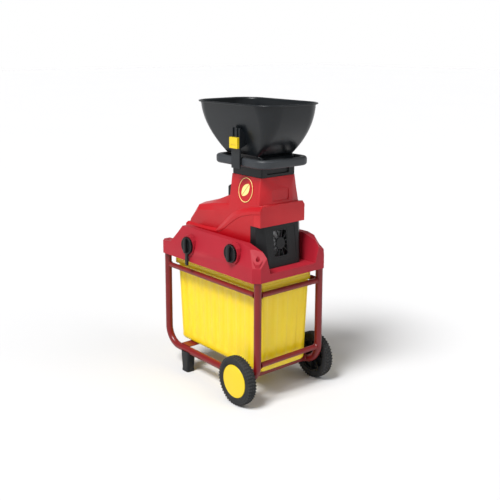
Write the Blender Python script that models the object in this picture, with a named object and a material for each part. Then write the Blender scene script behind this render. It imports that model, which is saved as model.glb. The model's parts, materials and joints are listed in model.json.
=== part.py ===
"""Electric garden shredder.

A wheeled tube frame carries a plastic deck, and a catching bin slides in below it. The housing on
the deck holds the motor, the gear train and the cutting drum under a feed throat and a hopper.

Axes: +X runs to the wheel end, -Y is the side with the two knobs, +Z is up, and the ground is z = 0.
Positions below are measured from the middle of the four legs; LEGS_X puts the whole's middle at the origin.
"""

import math

import bmesh
import bpy
from mathutils import Matrix, Vector

# ---- Driving dimensions, in metres ---------------------------------------------------------------

GAP = 0.0003  # between pieces that touch
RUN = 0.0004  # radial clearance of a shaft in its bearing or bush
SLIDE = 0.0015  # clearance beside a piece that slides or is lifted out by hand
LEGS_X = -0.0075  # middle of the four legs, so that the origin is the middle of the whole

LEG_SPAN_X = 0.500  # leg centre to leg centre
LEG_SPAN_Y = 0.2773
TUBE_R = 0.0125  # side tubes, which are also the legs
TUBE_WALL = 0.0015
RAIL_R = 0.009  # upper rails and lower crossbar
RAIL_WALL = 0.0015
RAIL_Z = 0.3764  # centre of the upper rails
BEND_R = 0.065  # bends of the side tubes, on the centre line
LEG_INTO_DECK = 0.018  # length of a leg inside its socket

WHEEL_R = 0.082
WHEEL_WIDTH = 0.034
WHEEL_BESIDE_LEG = 0.00785  # from a side tube to the inner face of its wheel
AXLE_BEHIND_LEG = 0.0573
AXLE_R = 0.006
HUB_R = 0.0562  # where the tyre meets the rim
CAP_R = 0.0554
FOOT_AHEAD_OF_LEG = 0.1165
FOOT_LENGTH = 0.048
FOOT_WIDTH = 0.034

DECK_PAST_LEG_X = 0.0185  # from a leg's axis to the deck's edges
DECK_PAST_LEG_Y = 0.02335
DECK_CORNER = 0.020  # chamfer of the four corners
DECK_LOW = 0.4215  # lower edge
DECK_FLOOR = 0.447  # top of the tray floor and of the low ends
DECK_WALL = 0.0045
RIDGE_TOP = 0.536  # top of the two long side walls

POST_BOSS_R = 0.0152  # boss over a front leg, in the corner's facet
POST_BOSS_Z = 0.4975  # height of its sloping head on the leg's axis
POST_BOSS_LEAN = 0.9

BIN_WALL = 0.0025
BIN_REAR_INSET = 0.0190  # from the legs' axes to the body below the rim
BIN_FRONT_INSET = 0.0160
BIN_SIDE_INSET = 0.02415
BIN_RIM_HEIGHT = 0.036
BIN_TAPER = 0.008  # how much each side comes in towards the bottom
BIN_RIBS = 9  # grooves along a long side

HOUSING_WALL = 0.0035
HUMP_REAR = -0.194
BODY_Y = 0.0985  # half width of the lower housing
BODY_FRONT = 0.2149
SHELL_Y = 0.0895  # half width of the hump and tower where they meet the lower housing
THROAT_REAR = 0.0425  # the tower's top, which the collar sits on
THROAT_FRONT = 0.1926
THROAT_Y = 0.0743
TOWER_TOP = 0.743
COLLAR_TOP = 0.783
VENT_TOP = 0.586
VENT_Y = 0.0765
VENT_FOOT_Y = 0.066
VENT_FOOT_X = 0.226
VENT_TOP_X = 0.2075
GRILLE_Y = -0.0085
GRILLE_Z = 0.5235
GRILLE_HALF_Y = 0.0335
GRILLE_HALF_Z = 0.0465
GRILLE_HUB_R = 0.019
GRILLE_SPOKES = 12

RING_Z = 0.792
RING_HALF_HEIGHT = 0.0145
RING_REAR = -0.030
RING_FRONT = 0.240
RING_Y = 0.108
RING_BAR = 0.020  # thickness of the handle's bar
RING_CORNER = 0.045

RIM_Z = 0.984  # top of the hopper
RIM_X = 0.083  # middle of the hopper's mouth
RIM_HALF_X = 0.2006
RIM_HALF_Y = 0.1333
RIM_CORNER = 0.079
HOPPER_WALL = 0.003
NECK_PLUG = 0.030  # depth of the hopper's neck inside the collar
NECK_HALF = 0.0735  # half width of the neck above the handle's arms
NECK_CORNER = 0.012
BOWL_LOW = 0.812  # where the bowl starts above the neck
BOWL_FOOT_X = 0.097  # middle of the bowl's foot
BOWL_FOOT_HALF_X = 0.083
BOWL_FOOT_HALF_Y = 0.078
BOWL_SWELL = 2.08  # how quickly the bowl's two ends open
BOWL_STEPS = 8
LIP = 0.008  # width of the rim outside the bowl
LIP_DROP = 0.004
COLLAR_WALL = 0.012
ARM_THICK = 0.010
STRAP_X = 0.1125  # middle of the strap that holds the hopper, and of its sliding latch
STRAP_HALF = 0.021
STRAP_FACE = 0.118
STRAP_THICK = 0.0055
STRAP_LOW = 0.772
STRAP_TOP = 0.905

DRUM_Z = 0.515  # axis of the cutting drum and of its gear
DRUM_R = 0.041
DRUM_REAR = 0.066
DRUM_FRONT = 0.168
DRUM_TEETH = 8  # cutting edges round the drum
SHAFT_R = 0.010
CHAMBER_Y = 0.064
CHAMBER_TOP = 0.588
CHAMBER_WALL = 0.008

MOTOR_R = 0.055
MOTOR_REAR = -0.138
MOTOR_FRONT = -0.034
MOTOR_SHAFT_R = 0.006
MIDDLE_SHAFT_R = 0.0045
BEARING_R = 0.016
MOTOR_RISE = 0.020  # motor axis above the drum axis
DRUM_GEAR_TEETH = 40
DRUM_PINION_TEETH = 10
DRUM_MODULE = 0.0020
FAST_GEAR_TEETH = 48
FAST_PINION_TEETH = 10
FAST_MODULE = 0.0014
GEAR_WIDTH = 0.014
CASE_WALL = 0.005

KNOB_R = 0.030
KNOB_DEPTH = 0.012
BOSS = 0.004  # how far a knob's boss stands off the deck's wall
LATCH_X = -0.092
LATCH_Z = 0.480
ANVIL_KNOB_X = 0.147
ANVIL_KNOB_Z = 0.501
SCREW_R = 0.005

ANVIL_TRAVEL = 0.003
ANVIL_THICK = 0.011
ANVIL_BELOW = 0.030  # from the drum's axis down to the plate's lower edge
ANVIL_ABOVE = 0.024

SIDES = 12  # of round tubes and rods
FINE = 24  # of larger round pieces
WHEEL_SIDES = 32

# ---- Sizes that follow ---------------------------------------------------------------------------

LEG_X = LEG_SPAN_X / 2
LEG_Y = LEG_SPAN_Y / 2
WHEEL_OUT_Y = LEG_Y + TUBE_R + WHEEL_BESIDE_LEG + WHEEL_WIDTH
AXLE_X = LEG_X - AXLE_BEHIND_LEG
FOOT_X = FOOT_AHEAD_OF_LEG - LEG_X
DECK_X = LEG_X + DECK_PAST_LEG_X
DECK_Y = LEG_Y + DECK_PAST_LEG_Y
BIN_REAR = BIN_REAR_INSET - LEG_X
BIN_FRONT = LEG_X - BIN_FRONT_INSET
BIN_Y = LEG_Y - BIN_SIDE_INSET
LEG_TOP = DECK_LOW + LEG_INTO_DECK
BASE_Z = WHEEL_R - 0.0042  # centre of the side tubes' lower runs
BAR_Z = BASE_Z + 0.061  # lower front crossbar
PLATE_LOW = BASE_Z + TUBE_R + GAP
PLATE_TOP = PLATE_LOW + 0.003
BIN_LOW = PLATE_TOP + GAP
BIN_TOP = DECK_LOW - SLIDE
BIN_RIM_LOW = BIN_TOP - BIN_RIM_HEIGHT
BIN_RIM_Y = LEG_Y - TUBE_R - SLIDE
BIN_RIM_FRONT = LEG_X - TUBE_R - SLIDE
THROAT_X = (THROAT_REAR + THROAT_FRONT) / 2
CHAMBER_REAR = DRUM_REAR - SLIDE - CHAMBER_WALL
CHAMBER_FRONT = DRUM_FRONT + SLIDE + CHAMBER_WALL
SLOW_GEARS_FRONT = CHAMBER_REAR - 0.008
FAST_GEARS_FRONT = SLOW_GEARS_FRONT - GEAR_WIDTH - 0.008
CASE_REAR = MOTOR_FRONT + GAP
ANVIL_FACE = -DRUM_R - ANVIL_TRAVEL - 0.0005
MOTOR_Z = DRUM_Z + MOTOR_RISE
DRUM_DISTANCE = DRUM_MODULE * (DRUM_GEAR_TEETH + DRUM_PINION_TEETH) / 2
FAST_DISTANCE = FAST_MODULE * (FAST_GEAR_TEETH + FAST_PINION_TEETH) / 2
MIDDLE_RISE = (DRUM_DISTANCE**2 - FAST_DISTANCE**2 + MOTOR_RISE**2) / (2 * MOTOR_RISE)
MIDDLE_Y = math.sqrt(DRUM_DISTANCE**2 - MIDDLE_RISE**2)
MIDDLE_Z = DRUM_Z + MIDDLE_RISE


# ---- Modelling helpers ---------------------------------------------------------------------------


def clear_scene():
    for obj in list(bpy.data.objects):
        bpy.data.objects.remove(obj, do_unlink=True)


def paint(name, color, roughness, metallic=0.0, alpha=1.0):
    made = bpy.data.materials.new(name)
    made.use_nodes = True
    shader = made.node_tree.nodes["Principled BSDF"]
    shader.inputs["Base Color"].default_value = (*color, 1.0)
    shader.inputs["Roughness"].default_value = roughness
    shader.inputs["Metallic"].default_value = metallic
    shader.inputs["Alpha"].default_value = alpha
    return made


def empty(name, at=(0.0, 0.0, 0.0)):
    made = bpy.data.objects.new(name, None)
    bpy.context.scene.collection.objects.link(made)
    made.location = at
    return made


def piece(name, bm, material, sharp=40.0):
    """The object of a bmesh, in the frame of the legs, with its faces out and its round stretches smooth."""
    bmesh.ops.remove_doubles(bm, verts=bm.verts, dist=1e-6)
    bmesh.ops.recalc_face_normals(bm, faces=bm.faces)
    mesh = bpy.data.meshes.new(name)
    bm.to_mesh(mesh)
    bm.free()
    mesh.shade_smooth()
    mesh.set_sharp_from_angle(angle=math.radians(sharp))
    mesh.materials.append(material)
    made = bpy.data.objects.new(name, mesh)
    bpy.context.scene.collection.objects.link(made)
    made.parent = ROOT
    return made


def hang(pivot, *pieces):
    """Puts pieces under an empty on their joint's axis, where they already are."""
    for each in pieces:
        each.data.transform(Matrix.Translation(-pivot.location))
        each.parent = pivot


def pivot(name, at):
    made = empty(name, at)
    made.parent = ROOT
    return made


def boolean(target, tool, operation="DIFFERENCE"):
    tool.hide_render = True
    tool.display_type = "WIRE"
    modifier = target.modifiers.new(operation.lower(), "BOOLEAN")
    modifier.operation = operation
    modifier.solver = "EXACT"
    modifier.object = tool


def cut(target, *tools):
    for tool in tools:
        boolean(target, tool)


def join(target, *tools):
    for tool in tools:
        boolean(target, tool, "UNION")


def loft(name, rings, material=None, closed=False, sharp=40.0):
    """A solid through rings of points. It is capped at both ends, or closed into a loop."""
    bm = bmesh.new()
    rows = [[bm.verts.new(point) for point in ring] for ring in rings]
    count = len(rows[0])
    spans = list(zip(rows, rows[1:]))
    if closed:
        spans.append((rows[-1], rows[0]))
    for low, high in spans:
        for i in range(count):
            k = (i + 1) % count
            bm.faces.new((low[i], low[k], high[k], high[i]))
    if not closed:
        bm.faces.new(rows[0][::-1])
        bm.faces.new(rows[-1])
    return piece(name, bm, material or TOOL, sharp)


def place(axis, along, across):
    """A point from its height along an axis and its two other coordinates, in X, Y, Z order."""
    point = list(across)
    point.insert("XYZ".index(axis), along)
    return tuple(point)


def prism(name, outline, axis, low, high, material=None):
    return loft(name, [[place(axis, along, p) for p in outline] for along in (low, high)], material)


def box(name, low, high, material=None):
    outline = ((low[0], low[1]), (high[0], low[1]), (high[0], high[1]), (low[0], high[1]))
    return prism(name, outline, "Z", low[2], high[2], material)


def circle(centre, radius, sides, start=0.0):
    steps = (start + 2 * math.pi * i / sides for i in range(sides))
    return [(centre[0] + radius * math.cos(a), centre[1] + radius * math.sin(a)) for a in steps]


def turned(name, profile, axis, centre, sides, material=None, loop=False, sharp=40.0):
    """A turned piece from (radius, height along the axis) pairs. A loop's profile is clear of the axis."""
    if loop:
        rings = []
        for i in range(sides):
            angle = 2 * math.pi * i / sides
            turn = (math.cos(angle), math.sin(angle))
            rings.append(
                [place(axis, h, (centre[0] + r * turn[0], centre[1] + r * turn[1])) for r, h in profile]
            )
        return loft(name, rings, material, closed=True, sharp=sharp)
    rings = [[place(axis, h, p) for p in circle(centre, r, sides)] for r, h in profile]
    return loft(name, rings, material, sharp=sharp)


def rod(name, radius, axis, centre, low, high, sides=SIDES, material=None):
    return turned(name, ((radius, low), (radius, high)), axis, centre, sides, material)


def bush(name, outer, inner, axis, centre, low, high, sides=SIDES, material=None):
    profile = ((outer, low), (outer, high), (inner, high), (inner, low))
    return turned(name, profile, axis, centre, sides, material, loop=True)


def pipe(name, path, outer, inner, sides, material, across=Vector((0, 1, 0))):
    """A hollow tube, open at both ends, along a path in the plane square to across."""
    walls = []
    for radius in (outer, inner):
        rings = []
        for i, point in enumerate(path):
            ahead = path[min(i + 1, len(path) - 1)] - path[max(i - 1, 0)]
            side = ahead.normalized().cross(across)
            rings.append([point + (side * c + across * s) * radius for c, s in circle((0, 0), 1.0, sides)])
        walls.append(rings)
    bm = bmesh.new()
    rows = [[[bm.verts.new(p) for p in ring] for ring in rings] for rings in walls]
    for i in range(sides):
        k = (i + 1) % sides
        for wall in rows:
            for low, high in zip(wall, wall[1:]):
                bm.faces.new((low[i], low[k], high[k], high[i]))
        for end in (0, -1):
            bm.faces.new((rows[0][end][i], rows[0][end][k], rows[1][end][k], rows[1][end][i]))
    return piece(name, bm, material)


def arc(centre, radius, start, end, steps):
    """Points on an arc, from one angle in degrees to another."""
    angles = (math.radians(start + (end - start) * i / steps) for i in range(steps + 1))
    return [(centre[0] + radius * math.cos(a), centre[1] + radius * math.sin(a)) for a in angles]


def rounded(x0, x1, y0, y1, radius, steps=4):
    """The outline of a rectangle with round corners, anticlockwise."""
    corners = (
        ((x1 - radius, y1 - radius), 0),
        ((x0 + radius, y1 - radius), 90),
        ((x0 + radius, y0 + radius), 180),
        ((x1 - radius, y0 + radius), 270),
    )
    return [p for centre, start in corners for p in arc(centre, radius, start, start + 90, steps)]


def chamfered(x0, x1, y0, y1, cut_off):
    """The outline of a rectangle with its four corners cut off."""
    return [
        (x1, y0 + cut_off),
        (x1, y1 - cut_off),
        (x1 - cut_off, y1),
        (x0 + cut_off, y1),
        (x0, y1 - cut_off),
        (x0, y0 + cut_off),
        (x0 + cut_off, y0),
        (x1 - cut_off, y0),
    ]


def level(outline, z):
    return [(x, y, z) for x, y in outline]


def mirrored(points):
    return [(x, -y, z) for x, y, z in points]


# ---- Materials -----------------------------------------------------------------------------------

clear_scene()
ROOT = empty("shredder", (LEGS_X, 0.0, 0.0))
TOOL = paint("cutter", (0.5, 0.5, 0.5), 0.5)


def frame_red(name):
    return paint(name, (0.26, 0.012, 0.012), 0.35)


def shell_red(name):
    return paint(name, (0.60, 0.012, 0.025), 0.42)


def deck_red(name):
    return paint(name, (0.52, 0.030, 0.042), 0.55)


def black(name):
    return paint(name, (0.018, 0.020, 0.022), 0.5)


def yellow(name):
    return paint(name, (0.80, 0.60, 0.01), 0.45)


def steel(name):
    return paint(name, (0.55, 0.55, 0.56), 0.35, 1.0)


def alloy(name):
    return paint(name, (0.60, 0.61, 0.62), 0.5, 1.0)


# ---- Frame, axle, wheels and feet ----------------------------------------------------------------


def side_tube(name, y):
    left = arc((-LEG_X + BEND_R, BASE_Z + BEND_R), BEND_R, 180, 270, 4)
    right = arc((LEG_X - BEND_R, BASE_Z + BEND_R), BEND_R, 270, 360, 4)
    flat = [(-LEG_X, LEG_TOP), *left, *right, (LEG_X, LEG_TOP)]
    path = [Vector((x, y, z)) for x, z in flat]
    tube = pipe(name, path, TUBE_R, TUBE_R - TUBE_WALL, SIDES, frame_red(name))
    hole = rod(name + "_hole", AXLE_R + RUN, "Y", (AXLE_X, WHEEL_R), y - 0.03, y + 0.03)
    cut(tube, hole)


def straight_tube(name, start, end, outer, inner, across):
    return pipe(name, [Vector(start), Vector(end)], outer, inner, SIDES, frame_red(name), Vector(across))


def frame():
    side_tube("side_tube_left", -LEG_Y)
    side_tube("side_tube_right", LEG_Y)
    inner = RAIL_R - RAIL_WALL
    reach = LEG_X - TUBE_R - GAP
    for side, y in (("left", -LEG_Y), ("right", LEG_Y)):
        straight_tube(
            "upper_rail_" + side, (-reach, y, RAIL_Z), (reach, y, RAIL_Z), RAIL_R, inner, (0, 1, 0)
        )
    reach = LEG_Y - TUBE_R - GAP
    for name, z in (("upper_rail_front", RAIL_Z), ("lower_crossbar_front", BAR_Z)):
        straight_tube(name, (LEG_X, -reach, z), (LEG_X, reach, z), RAIL_R, inner, (0, 0, 1))
    low = (FOOT_X - 0.0385, -LEG_Y, PLATE_LOW)
    box("rear_cross_plate", low, (FOOT_X + 0.0095, LEG_Y, PLATE_TOP), frame_red("rear_cross_plate"))


def axle():
    outer = PLATE_TOP - WHEEL_R
    reach = LEG_Y - TUBE_R - GAP
    centre = (AXLE_X, WHEEL_R)
    bush("axle_tube", outer, AXLE_R + RUN, "Y", centre, -reach, reach, SIDES, frame_red("axle_tube"))
    end = WHEEL_OUT_Y - 0.006
    rod("axle", AXLE_R, "Y", centre, -end, end, SIDES, steel("axle"))


def wheel(side, sign):
    """One wheel: tyre, rim, plain cap and the ring that keeps it on the axle."""
    centre = (AXLE_X, WHEEL_R)
    out = WHEEL_OUT_Y
    inn = WHEEL_OUT_Y - WHEEL_WIDTH
    spin = pivot("wheel_axis_" + side, (AXLE_X, sign * (out + inn) / 2, WHEEL_R))
    tread = (
        (HUB_R + GAP, inn + 0.004),
        (WHEEL_R - 0.010, inn),
        (WHEEL_R - 0.003, inn + 0.003),
        (WHEEL_R, inn + 0.009),
        (WHEEL_R, out - 0.009),
        (WHEEL_R - 0.003, out - 0.003),
        (WHEEL_R - 0.010, out),
        (HUB_R + GAP, out - 0.002),
    )
    rim = (
        (HUB_R, inn + 0.006),
        (HUB_R, out - 0.006),
        (HUB_R - 0.005, out - 0.006),
        (HUB_R - 0.005, out - 0.014),
        (0.016, out - 0.014),
        (0.016, out - 0.011),
        (AXLE_R + RUN, out - 0.011),
        (AXLE_R + RUN, inn + 0.001),
        (0.016, inn + 0.001),
        (0.016, out - 0.018),
        (HUB_R - 0.005, out - 0.018),
        (HUB_R - 0.005, inn + 0.006),
    )
    cap = (
        (CAP_R - 0.0035, out - 0.0052),
        (CAP_R, out - 0.0040),
        (CAP_R - 0.001, out - 0.0015),
        (CAP_R * 0.6, out - 0.0005),
    )
    ring = (
        (0.011, out - 0.0105),
        (0.011, out - 0.0070),
        (AXLE_R - 0.0002, out - 0.0070),
        (AXLE_R - 0.0002, out - 0.0105),
    )
    parts = []
    for name, profile, material, loop, sides in (
        ("tyre", tread, black("tyre_" + side), True, WHEEL_SIDES),
        ("wheel_rim", rim, black("wheel_rim_" + side), True, FINE),
        ("hub_cap", cap, yellow("hub_cap_" + side), False, WHEEL_SIDES),
    ):
        flipped = [(r, sign * h) for r, h in profile]
        parts.append(turned(f"{name}_{side}", flipped, "Y", centre, sides, material, loop))
    hang(spin, *parts)
    held = [(r + 0.0005, sign * h) for r, h in ring]
    turned("axle_ring_" + side, held, "Y", centre, SIDES, steel("axle_ring_" + side), loop=True)


def foot(side, sign):
    """A tapered foot under the side tube, with a saddle that the tube lies in."""
    y = sign * LEG_Y
    top = BASE_Z - 0.002
    rings = []
    for z, length, width in (
        (0.0, 0.84, 1.0),
        (0.006, 0.82, 0.97),
        (0.012, 0.80, 0.94),
        (top, 1.0, 1.0),
    ):
        half_x = FOOT_LENGTH * length / 2
        half_y = FOOT_WIDTH * width / 2
        rings.append(level(rounded(FOOT_X - half_x, FOOT_X + half_x, y - half_y, y + half_y, 0.008, 2), z))
    body = loft("foot_" + side, rings, black("foot_" + side))
    saddle = rod("saddle_" + side, TUBE_R + GAP, "X", (y, BASE_Z), FOOT_X - 0.1, FOOT_X + 0.1)
    cut(body, saddle)


# ---- Deck ----------------------------------------------------------------------------------------


def ridge_sections(inset, low):
    """Sections of a long side wall of the deck, along X. inset makes the smaller ones that hollow it."""
    stations = (
        (-DECK_X, DECK_CORNER, DECK_FLOOR + 0.021),
        (-DECK_X + DECK_CORNER, 0.0, DECK_FLOOR + 0.021),
        (-0.204, 0.0, DECK_FLOOR + 0.025),
        (-0.172, 0.0, RIDGE_TOP - 0.024),
        (-0.155, 0.0, RIDGE_TOP),
        (0.190, 0.0, RIDGE_TOP),
        (DECK_X - DECK_CORNER, 0.0, RIDGE_TOP - 0.017),
        (DECK_X, DECK_CORNER, RIDGE_TOP - 0.030),
    )
    bend = DECK_FLOOR + 0.021
    rings = []
    for x, corner, top in stations:
        if inset and abs(x) > LEG_X - TUBE_R - 3 * inset:
            continue
        outer = DECK_Y - corner - inset
        slope = 0.30 * max(top - bend, 0.0)
        inner_top = DECK_Y - 0.044 + inset
        inner_low = DECK_Y - 0.062 + inset
        rings.append(
            [
                (x, -outer, low),
                (x, -outer, bend - inset),
                (x, -outer + slope, top - inset),
                (x, -inner_top, top - inset),
                (x, -inner_low, low),
            ]
        )
    return rings


def pill(x, z, half_width, half_height):
    """A standing pill outline in the XZ plane."""
    top = arc((x, z + half_height - half_width), half_width, 0, 180, 6)
    low = arc((x, z - half_height + half_width), half_width, 180, 360, 6)
    return top + low


def deck():
    """The tray: low ends, high hollow side walls, sockets for the legs, and the opening under the drum."""
    outline = chamfered(-DECK_X, DECK_X, -DECK_Y, DECK_Y, DECK_CORNER)
    body = prism("deck", outline, "Z", DECK_LOW, DECK_FLOOR, deck_red("deck"))
    for sign, side in ((1, "left"), (-1, "right")):
        wall = ridge_sections(0.0, DECK_FLOOR - 0.003)
        hollow = ridge_sections(DECK_WALL, DECK_LOW - 0.010)
        if sign < 0:
            wall = [mirrored(ring) for ring in wall]
            hollow = [mirrored(ring) for ring in hollow]
        join(body, loft("deck_wall_" + side, wall))
        cut(body, loft("deck_wall_hollow_" + side, hollow))
    below = chamfered(
        -DECK_X + DECK_WALL, DECK_X - DECK_WALL, -DECK_Y + 0.050, DECK_Y - 0.050, 0.012
    )
    cut(body, prism("deck_under", below, "Z", DECK_LOW - 0.010, DECK_FLOOR - DECK_WALL))
    opening = rounded(
        DRUM_REAR - 0.004, DRUM_FRONT + 0.004, -CHAMBER_Y + 0.012, CHAMBER_Y - 0.012, 0.010, 2
    )
    cut(body, prism("deck_opening", opening, "Z", DECK_LOW - 0.010, DECK_FLOOR + 0.010))
    for sy in (-1, 1):
        post_boss(body, sy)
    for i, (sx, sy) in enumerate(((-1, -1), (1, -1), (1, 1), (-1, 1))):
        post = (sx * LEG_X, sy * LEG_Y)
        cut(body, rod(f"leg_socket_{i}", TUBE_R + GAP, "Z", post, DECK_LOW - 0.010, LEG_TOP + GAP, SIDES))
    for name, x, z in (("latch", LATCH_X, LATCH_Z), ("anvil", ANVIL_KNOB_X, ANVIL_KNOB_Z)):
        outline = pill(x, z, KNOB_R + 0.005, KNOB_R + 0.008)
        join(body, prism(name + "_boss", outline, "Y", -DECK_Y + 0.012, -DECK_Y - BOSS))
        recess = rod(name + "_recess", KNOB_R + SLIDE, "Y", (x, z), -DECK_Y - 0.010, -DECK_Y + 0.002, FINE)
        bore = rod(name + "_bore", SCREW_R + RUN, "Y", (x, z), -DECK_Y - 0.010, -DECK_Y + 0.120)
        cut(body, recess, bore)
    for i, (sx, sy) in enumerate(((-1, -1), (1, -1), (1, 1), (-1, 1))):
        top = corner_top(sx)
        seat = rod(
            f"screw_seat_{i}", 0.0065, "Z", (sx * LEG_X, sy * LEG_Y), LEG_TOP + 0.004, top + 0.03, SIDES
        )
        shank = rod(
            f"screw_bore_{i}", 0.0028, "Z", (sx * LEG_X, sy * LEG_Y), LEG_TOP - 0.004, LEG_TOP + 0.010, 12
        )
        cut(body, seat, shank)


def post_boss(body, sy):
    """The wide facet that cuts a front corner of the deck, and the boss over the leg in it."""
    # Built with the corner facing +X at the origin, then turned out over the leg.
    facet = (
        (0.0158, 0.470),
        (-0.0175, 0.525),
        (-0.0175, RIDGE_TOP + 0.020),
        (0.060, RIDGE_TOP + 0.020),
        (0.060, 0.470),
    )
    cutter = prism(f"corner_facet_{sy + 1}", facet, "Y", -0.050, 0.050)
    half_step = math.pi / 8
    foot_ring = level(circle((0.0, 0.0), POST_BOSS_R + 0.0020, 8, half_step), DECK_FLOOR - 0.010)
    head_ring = [
        (x, y, POST_BOSS_Z - POST_BOSS_LEAN * x) for x, y in circle((0.0, 0.0), POST_BOSS_R, 8, half_step)
    ]
    boss = loft(f"post_boss_{sy + 1}", [foot_ring, head_ring])
    turn = Matrix.Translation((LEG_X, sy * LEG_Y, 0.0)) @ Matrix.Rotation(sy * math.pi / 4, 4, "Z")
    for each in (cutter, boss):
        each.data.transform(turn)
    cut(body, cutter)
    join(body, boss)


def corner_top(sx):
    return RIDGE_TOP if sx > 0 else DECK_FLOOR + 0.021


def deck_screws():
    """Four screws from the corner seats down into the legs."""
    for sx, sy, name in (
        (-1, -1, "rear_left"), (1, -1, "front_left"), (1, 1, "front_right"), (-1, 1, "rear_right")
    ):
        seat = LEG_TOP + 0.004
        profile = (
            (0.0025, LEG_TOP - 0.014),
            (0.0025, seat + GAP),
            (0.0058, seat + GAP),
            (0.0058, seat + 0.0030),
            (0.0040, seat + 0.0042),
        )
        turned(
            "deck_screw_" + name, profile, "Z", (sx * LEG_X, sy * LEG_Y), 12, steel("deck_screw_" + name)
        )


# ---- Bin -----------------------------------------------------------------------------------------


def bin_outline(x0, x1, half_y, groove, inset):
    """The bin's outline with shallow upright grooves, the same number of points at every height."""
    points = []
    radius = 0.022 - inset
    long_steps = 2 * BIN_RIBS
    short_steps = 2 * (BIN_RIBS // 2)
    run_x = x1 - x0 - 2 * radius
    run_y = 2 * (half_y - radius)
    for centre, start in (
        ((x1 - radius, half_y - radius), 0),
        ((x0 + radius, half_y - radius), 90),
        ((x0 + radius, -half_y + radius), 180),
        ((x1 - radius, -half_y + radius), 270),
    ):
        corner = arc(centre, radius, start, start + 90, 3)
        points += corner
        long_side = start in (0, 180)
        steps = long_steps if long_side else short_steps
        run = run_x if long_side else run_y
        ahead = {0: (-1, 0), 90: (0, -1), 180: (1, 0), 270: (0, 1)}[start]
        inward = {0: (0, -1), 90: (1, 0), 180: (0, 1), 270: (-1, 0)}[start]
        for k in range(1, steps):
            along = run * k / steps
            depth = groove if k % 2 else 0.0
            points.append(
                (
                    corner[-1][0] + ahead[0] * along + inward[0] * depth,
                    corner[-1][1] + ahead[1] * along + inward[1] * depth,
                )
            )
    return points


def catching_bin():
    """An open box with a wide rim that hangs just clear below the deck and slides out to the rear."""
    rear, front = BIN_REAR, BIN_FRONT
    slide = pivot("bin_slide_axis", (0.0, 0.0, BIN_LOW))
    outer = (
        (BIN_LOW, BIN_TAPER + 0.010, 0.0),
        (BIN_LOW + 0.010, BIN_TAPER, 0.0),
        (BIN_LOW + 0.030, BIN_TAPER - 0.001, 0.0022),
        (BIN_RIM_LOW - 0.020, 0.0, 0.0022),
        (BIN_RIM_LOW, 0.0, 0.0),
    )
    rings = [level(bin_outline(rear + t, front - t, BIN_Y - t, g, t / 2), z) for z, t, g in outer]
    rim = bin_outline(-BIN_RIM_FRONT - 0.004, BIN_RIM_FRONT, BIN_RIM_Y, 0.0, 0.0)
    rings += [level(rim, BIN_RIM_LOW), level(rim, BIN_TOP)]
    w = BIN_WALL
    rim_in = bin_outline(-BIN_RIM_FRONT - 0.004 + w, BIN_RIM_FRONT - w, BIN_RIM_Y - w, 0.0, w)
    rings += [level(rim_in, BIN_TOP), level(rim_in, BIN_RIM_LOW + w)]
    inner = (
        (BIN_RIM_LOW + w, 0.0, 0.0),
        (BIN_RIM_LOW - 0.020, 0.0, 0.0022),
        (BIN_LOW + 0.030, BIN_TAPER - 0.001, 0.0022),
        (BIN_LOW + 0.012, BIN_TAPER, 0.0),
        (BIN_LOW + w, BIN_TAPER + 0.010, 0.0),
    )
    rings += [
        level(bin_outline(rear + t + w, front - t - w, BIN_Y - t - w, g, t / 2 + w), z)
        for z, t, g in inner
    ]
    body = loft("bin", rings, paint("bin", (0.85, 0.62, 0.02), 0.35, 0.0, 0.75), sharp=20.0)
    hang(slide, body)


# ---- Housing -------------------------------------------------------------------------------------


def body_curves(front):
    """The lower and upper edge of the housing's sloping band in the XZ plane, from front to rear."""
    lower = (
        (front, 0.630),
        (0.165, 0.622),
        (0.114, 0.607),
        (0.072, 0.583),
        (0.018, 0.545),
        (0.000, 0.536),
        (-0.080, 0.533),
    )
    upper = (
        (front, 0.655),
        (0.155, 0.645),
        (0.100, 0.629),
        (0.056, 0.607),
        (0.002, 0.563),
        (-0.022, 0.543),
        (-0.085, 0.539),
    )
    return lower, upper


def lower_body(name, inset, low, rear, material=None):
    """The wide lower housing. A sloping band leads from its full width in to the hump and tower."""
    front = BODY_FRONT - inset
    rings = []
    for half_y, curve in zip((BODY_Y - inset, SHELL_Y - inset), body_curves(front)):
        top = [(x, z - inset) for x, z in curve if x > rear]
        back = rear + inset
        top.append((back, top[-1][1]))
        outline = [(back, low), (front, low), *top]
        rings.append([(x, -half_y, z) for x, z in outline])
        rings.append([(x, half_y, z) for x, z in outline])
    order = [rings[0], rings[2], rings[3], rings[1]]
    return loft(name, order, material)


def hump_sections(inset, low):
    """Sections of the motor hump along X: base, upright wall, chamfer and roof."""
    stations = (
        (HUMP_REAR, 0.505, 0.512, 0.516, 0.058),
        (HUMP_REAR + 0.019, 0.552, 0.564, 0.570, 0.058),
        (HUMP_REAR + 0.056, 0.590, 0.608, 0.614, 0.054),
        (HUMP_REAR + 0.132, 0.601, 0.624, 0.636, 0.046),
        (HUMP_REAR + 0.200, 0.608, 0.634, 0.664, 0.038),
        (THROAT_REAR + 0.010, 0.612, 0.640, 0.690, 0.034),
    )
    rings = []
    for i, (x, wall, chamfer, roof, half_roof) in enumerate(stations):
        x = x + inset if i == 0 else x
        wide = SHELL_Y - inset
        narrow = SHELL_Y - 0.010 - inset
        half = [
            (x, wide, low),
            (x, wide, wall - inset),
            (x, narrow, chamfer - inset),
            (x, half_roof, roof - inset),
        ]
        rings.append(half + mirrored(half)[::-1])
    return rings


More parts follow.
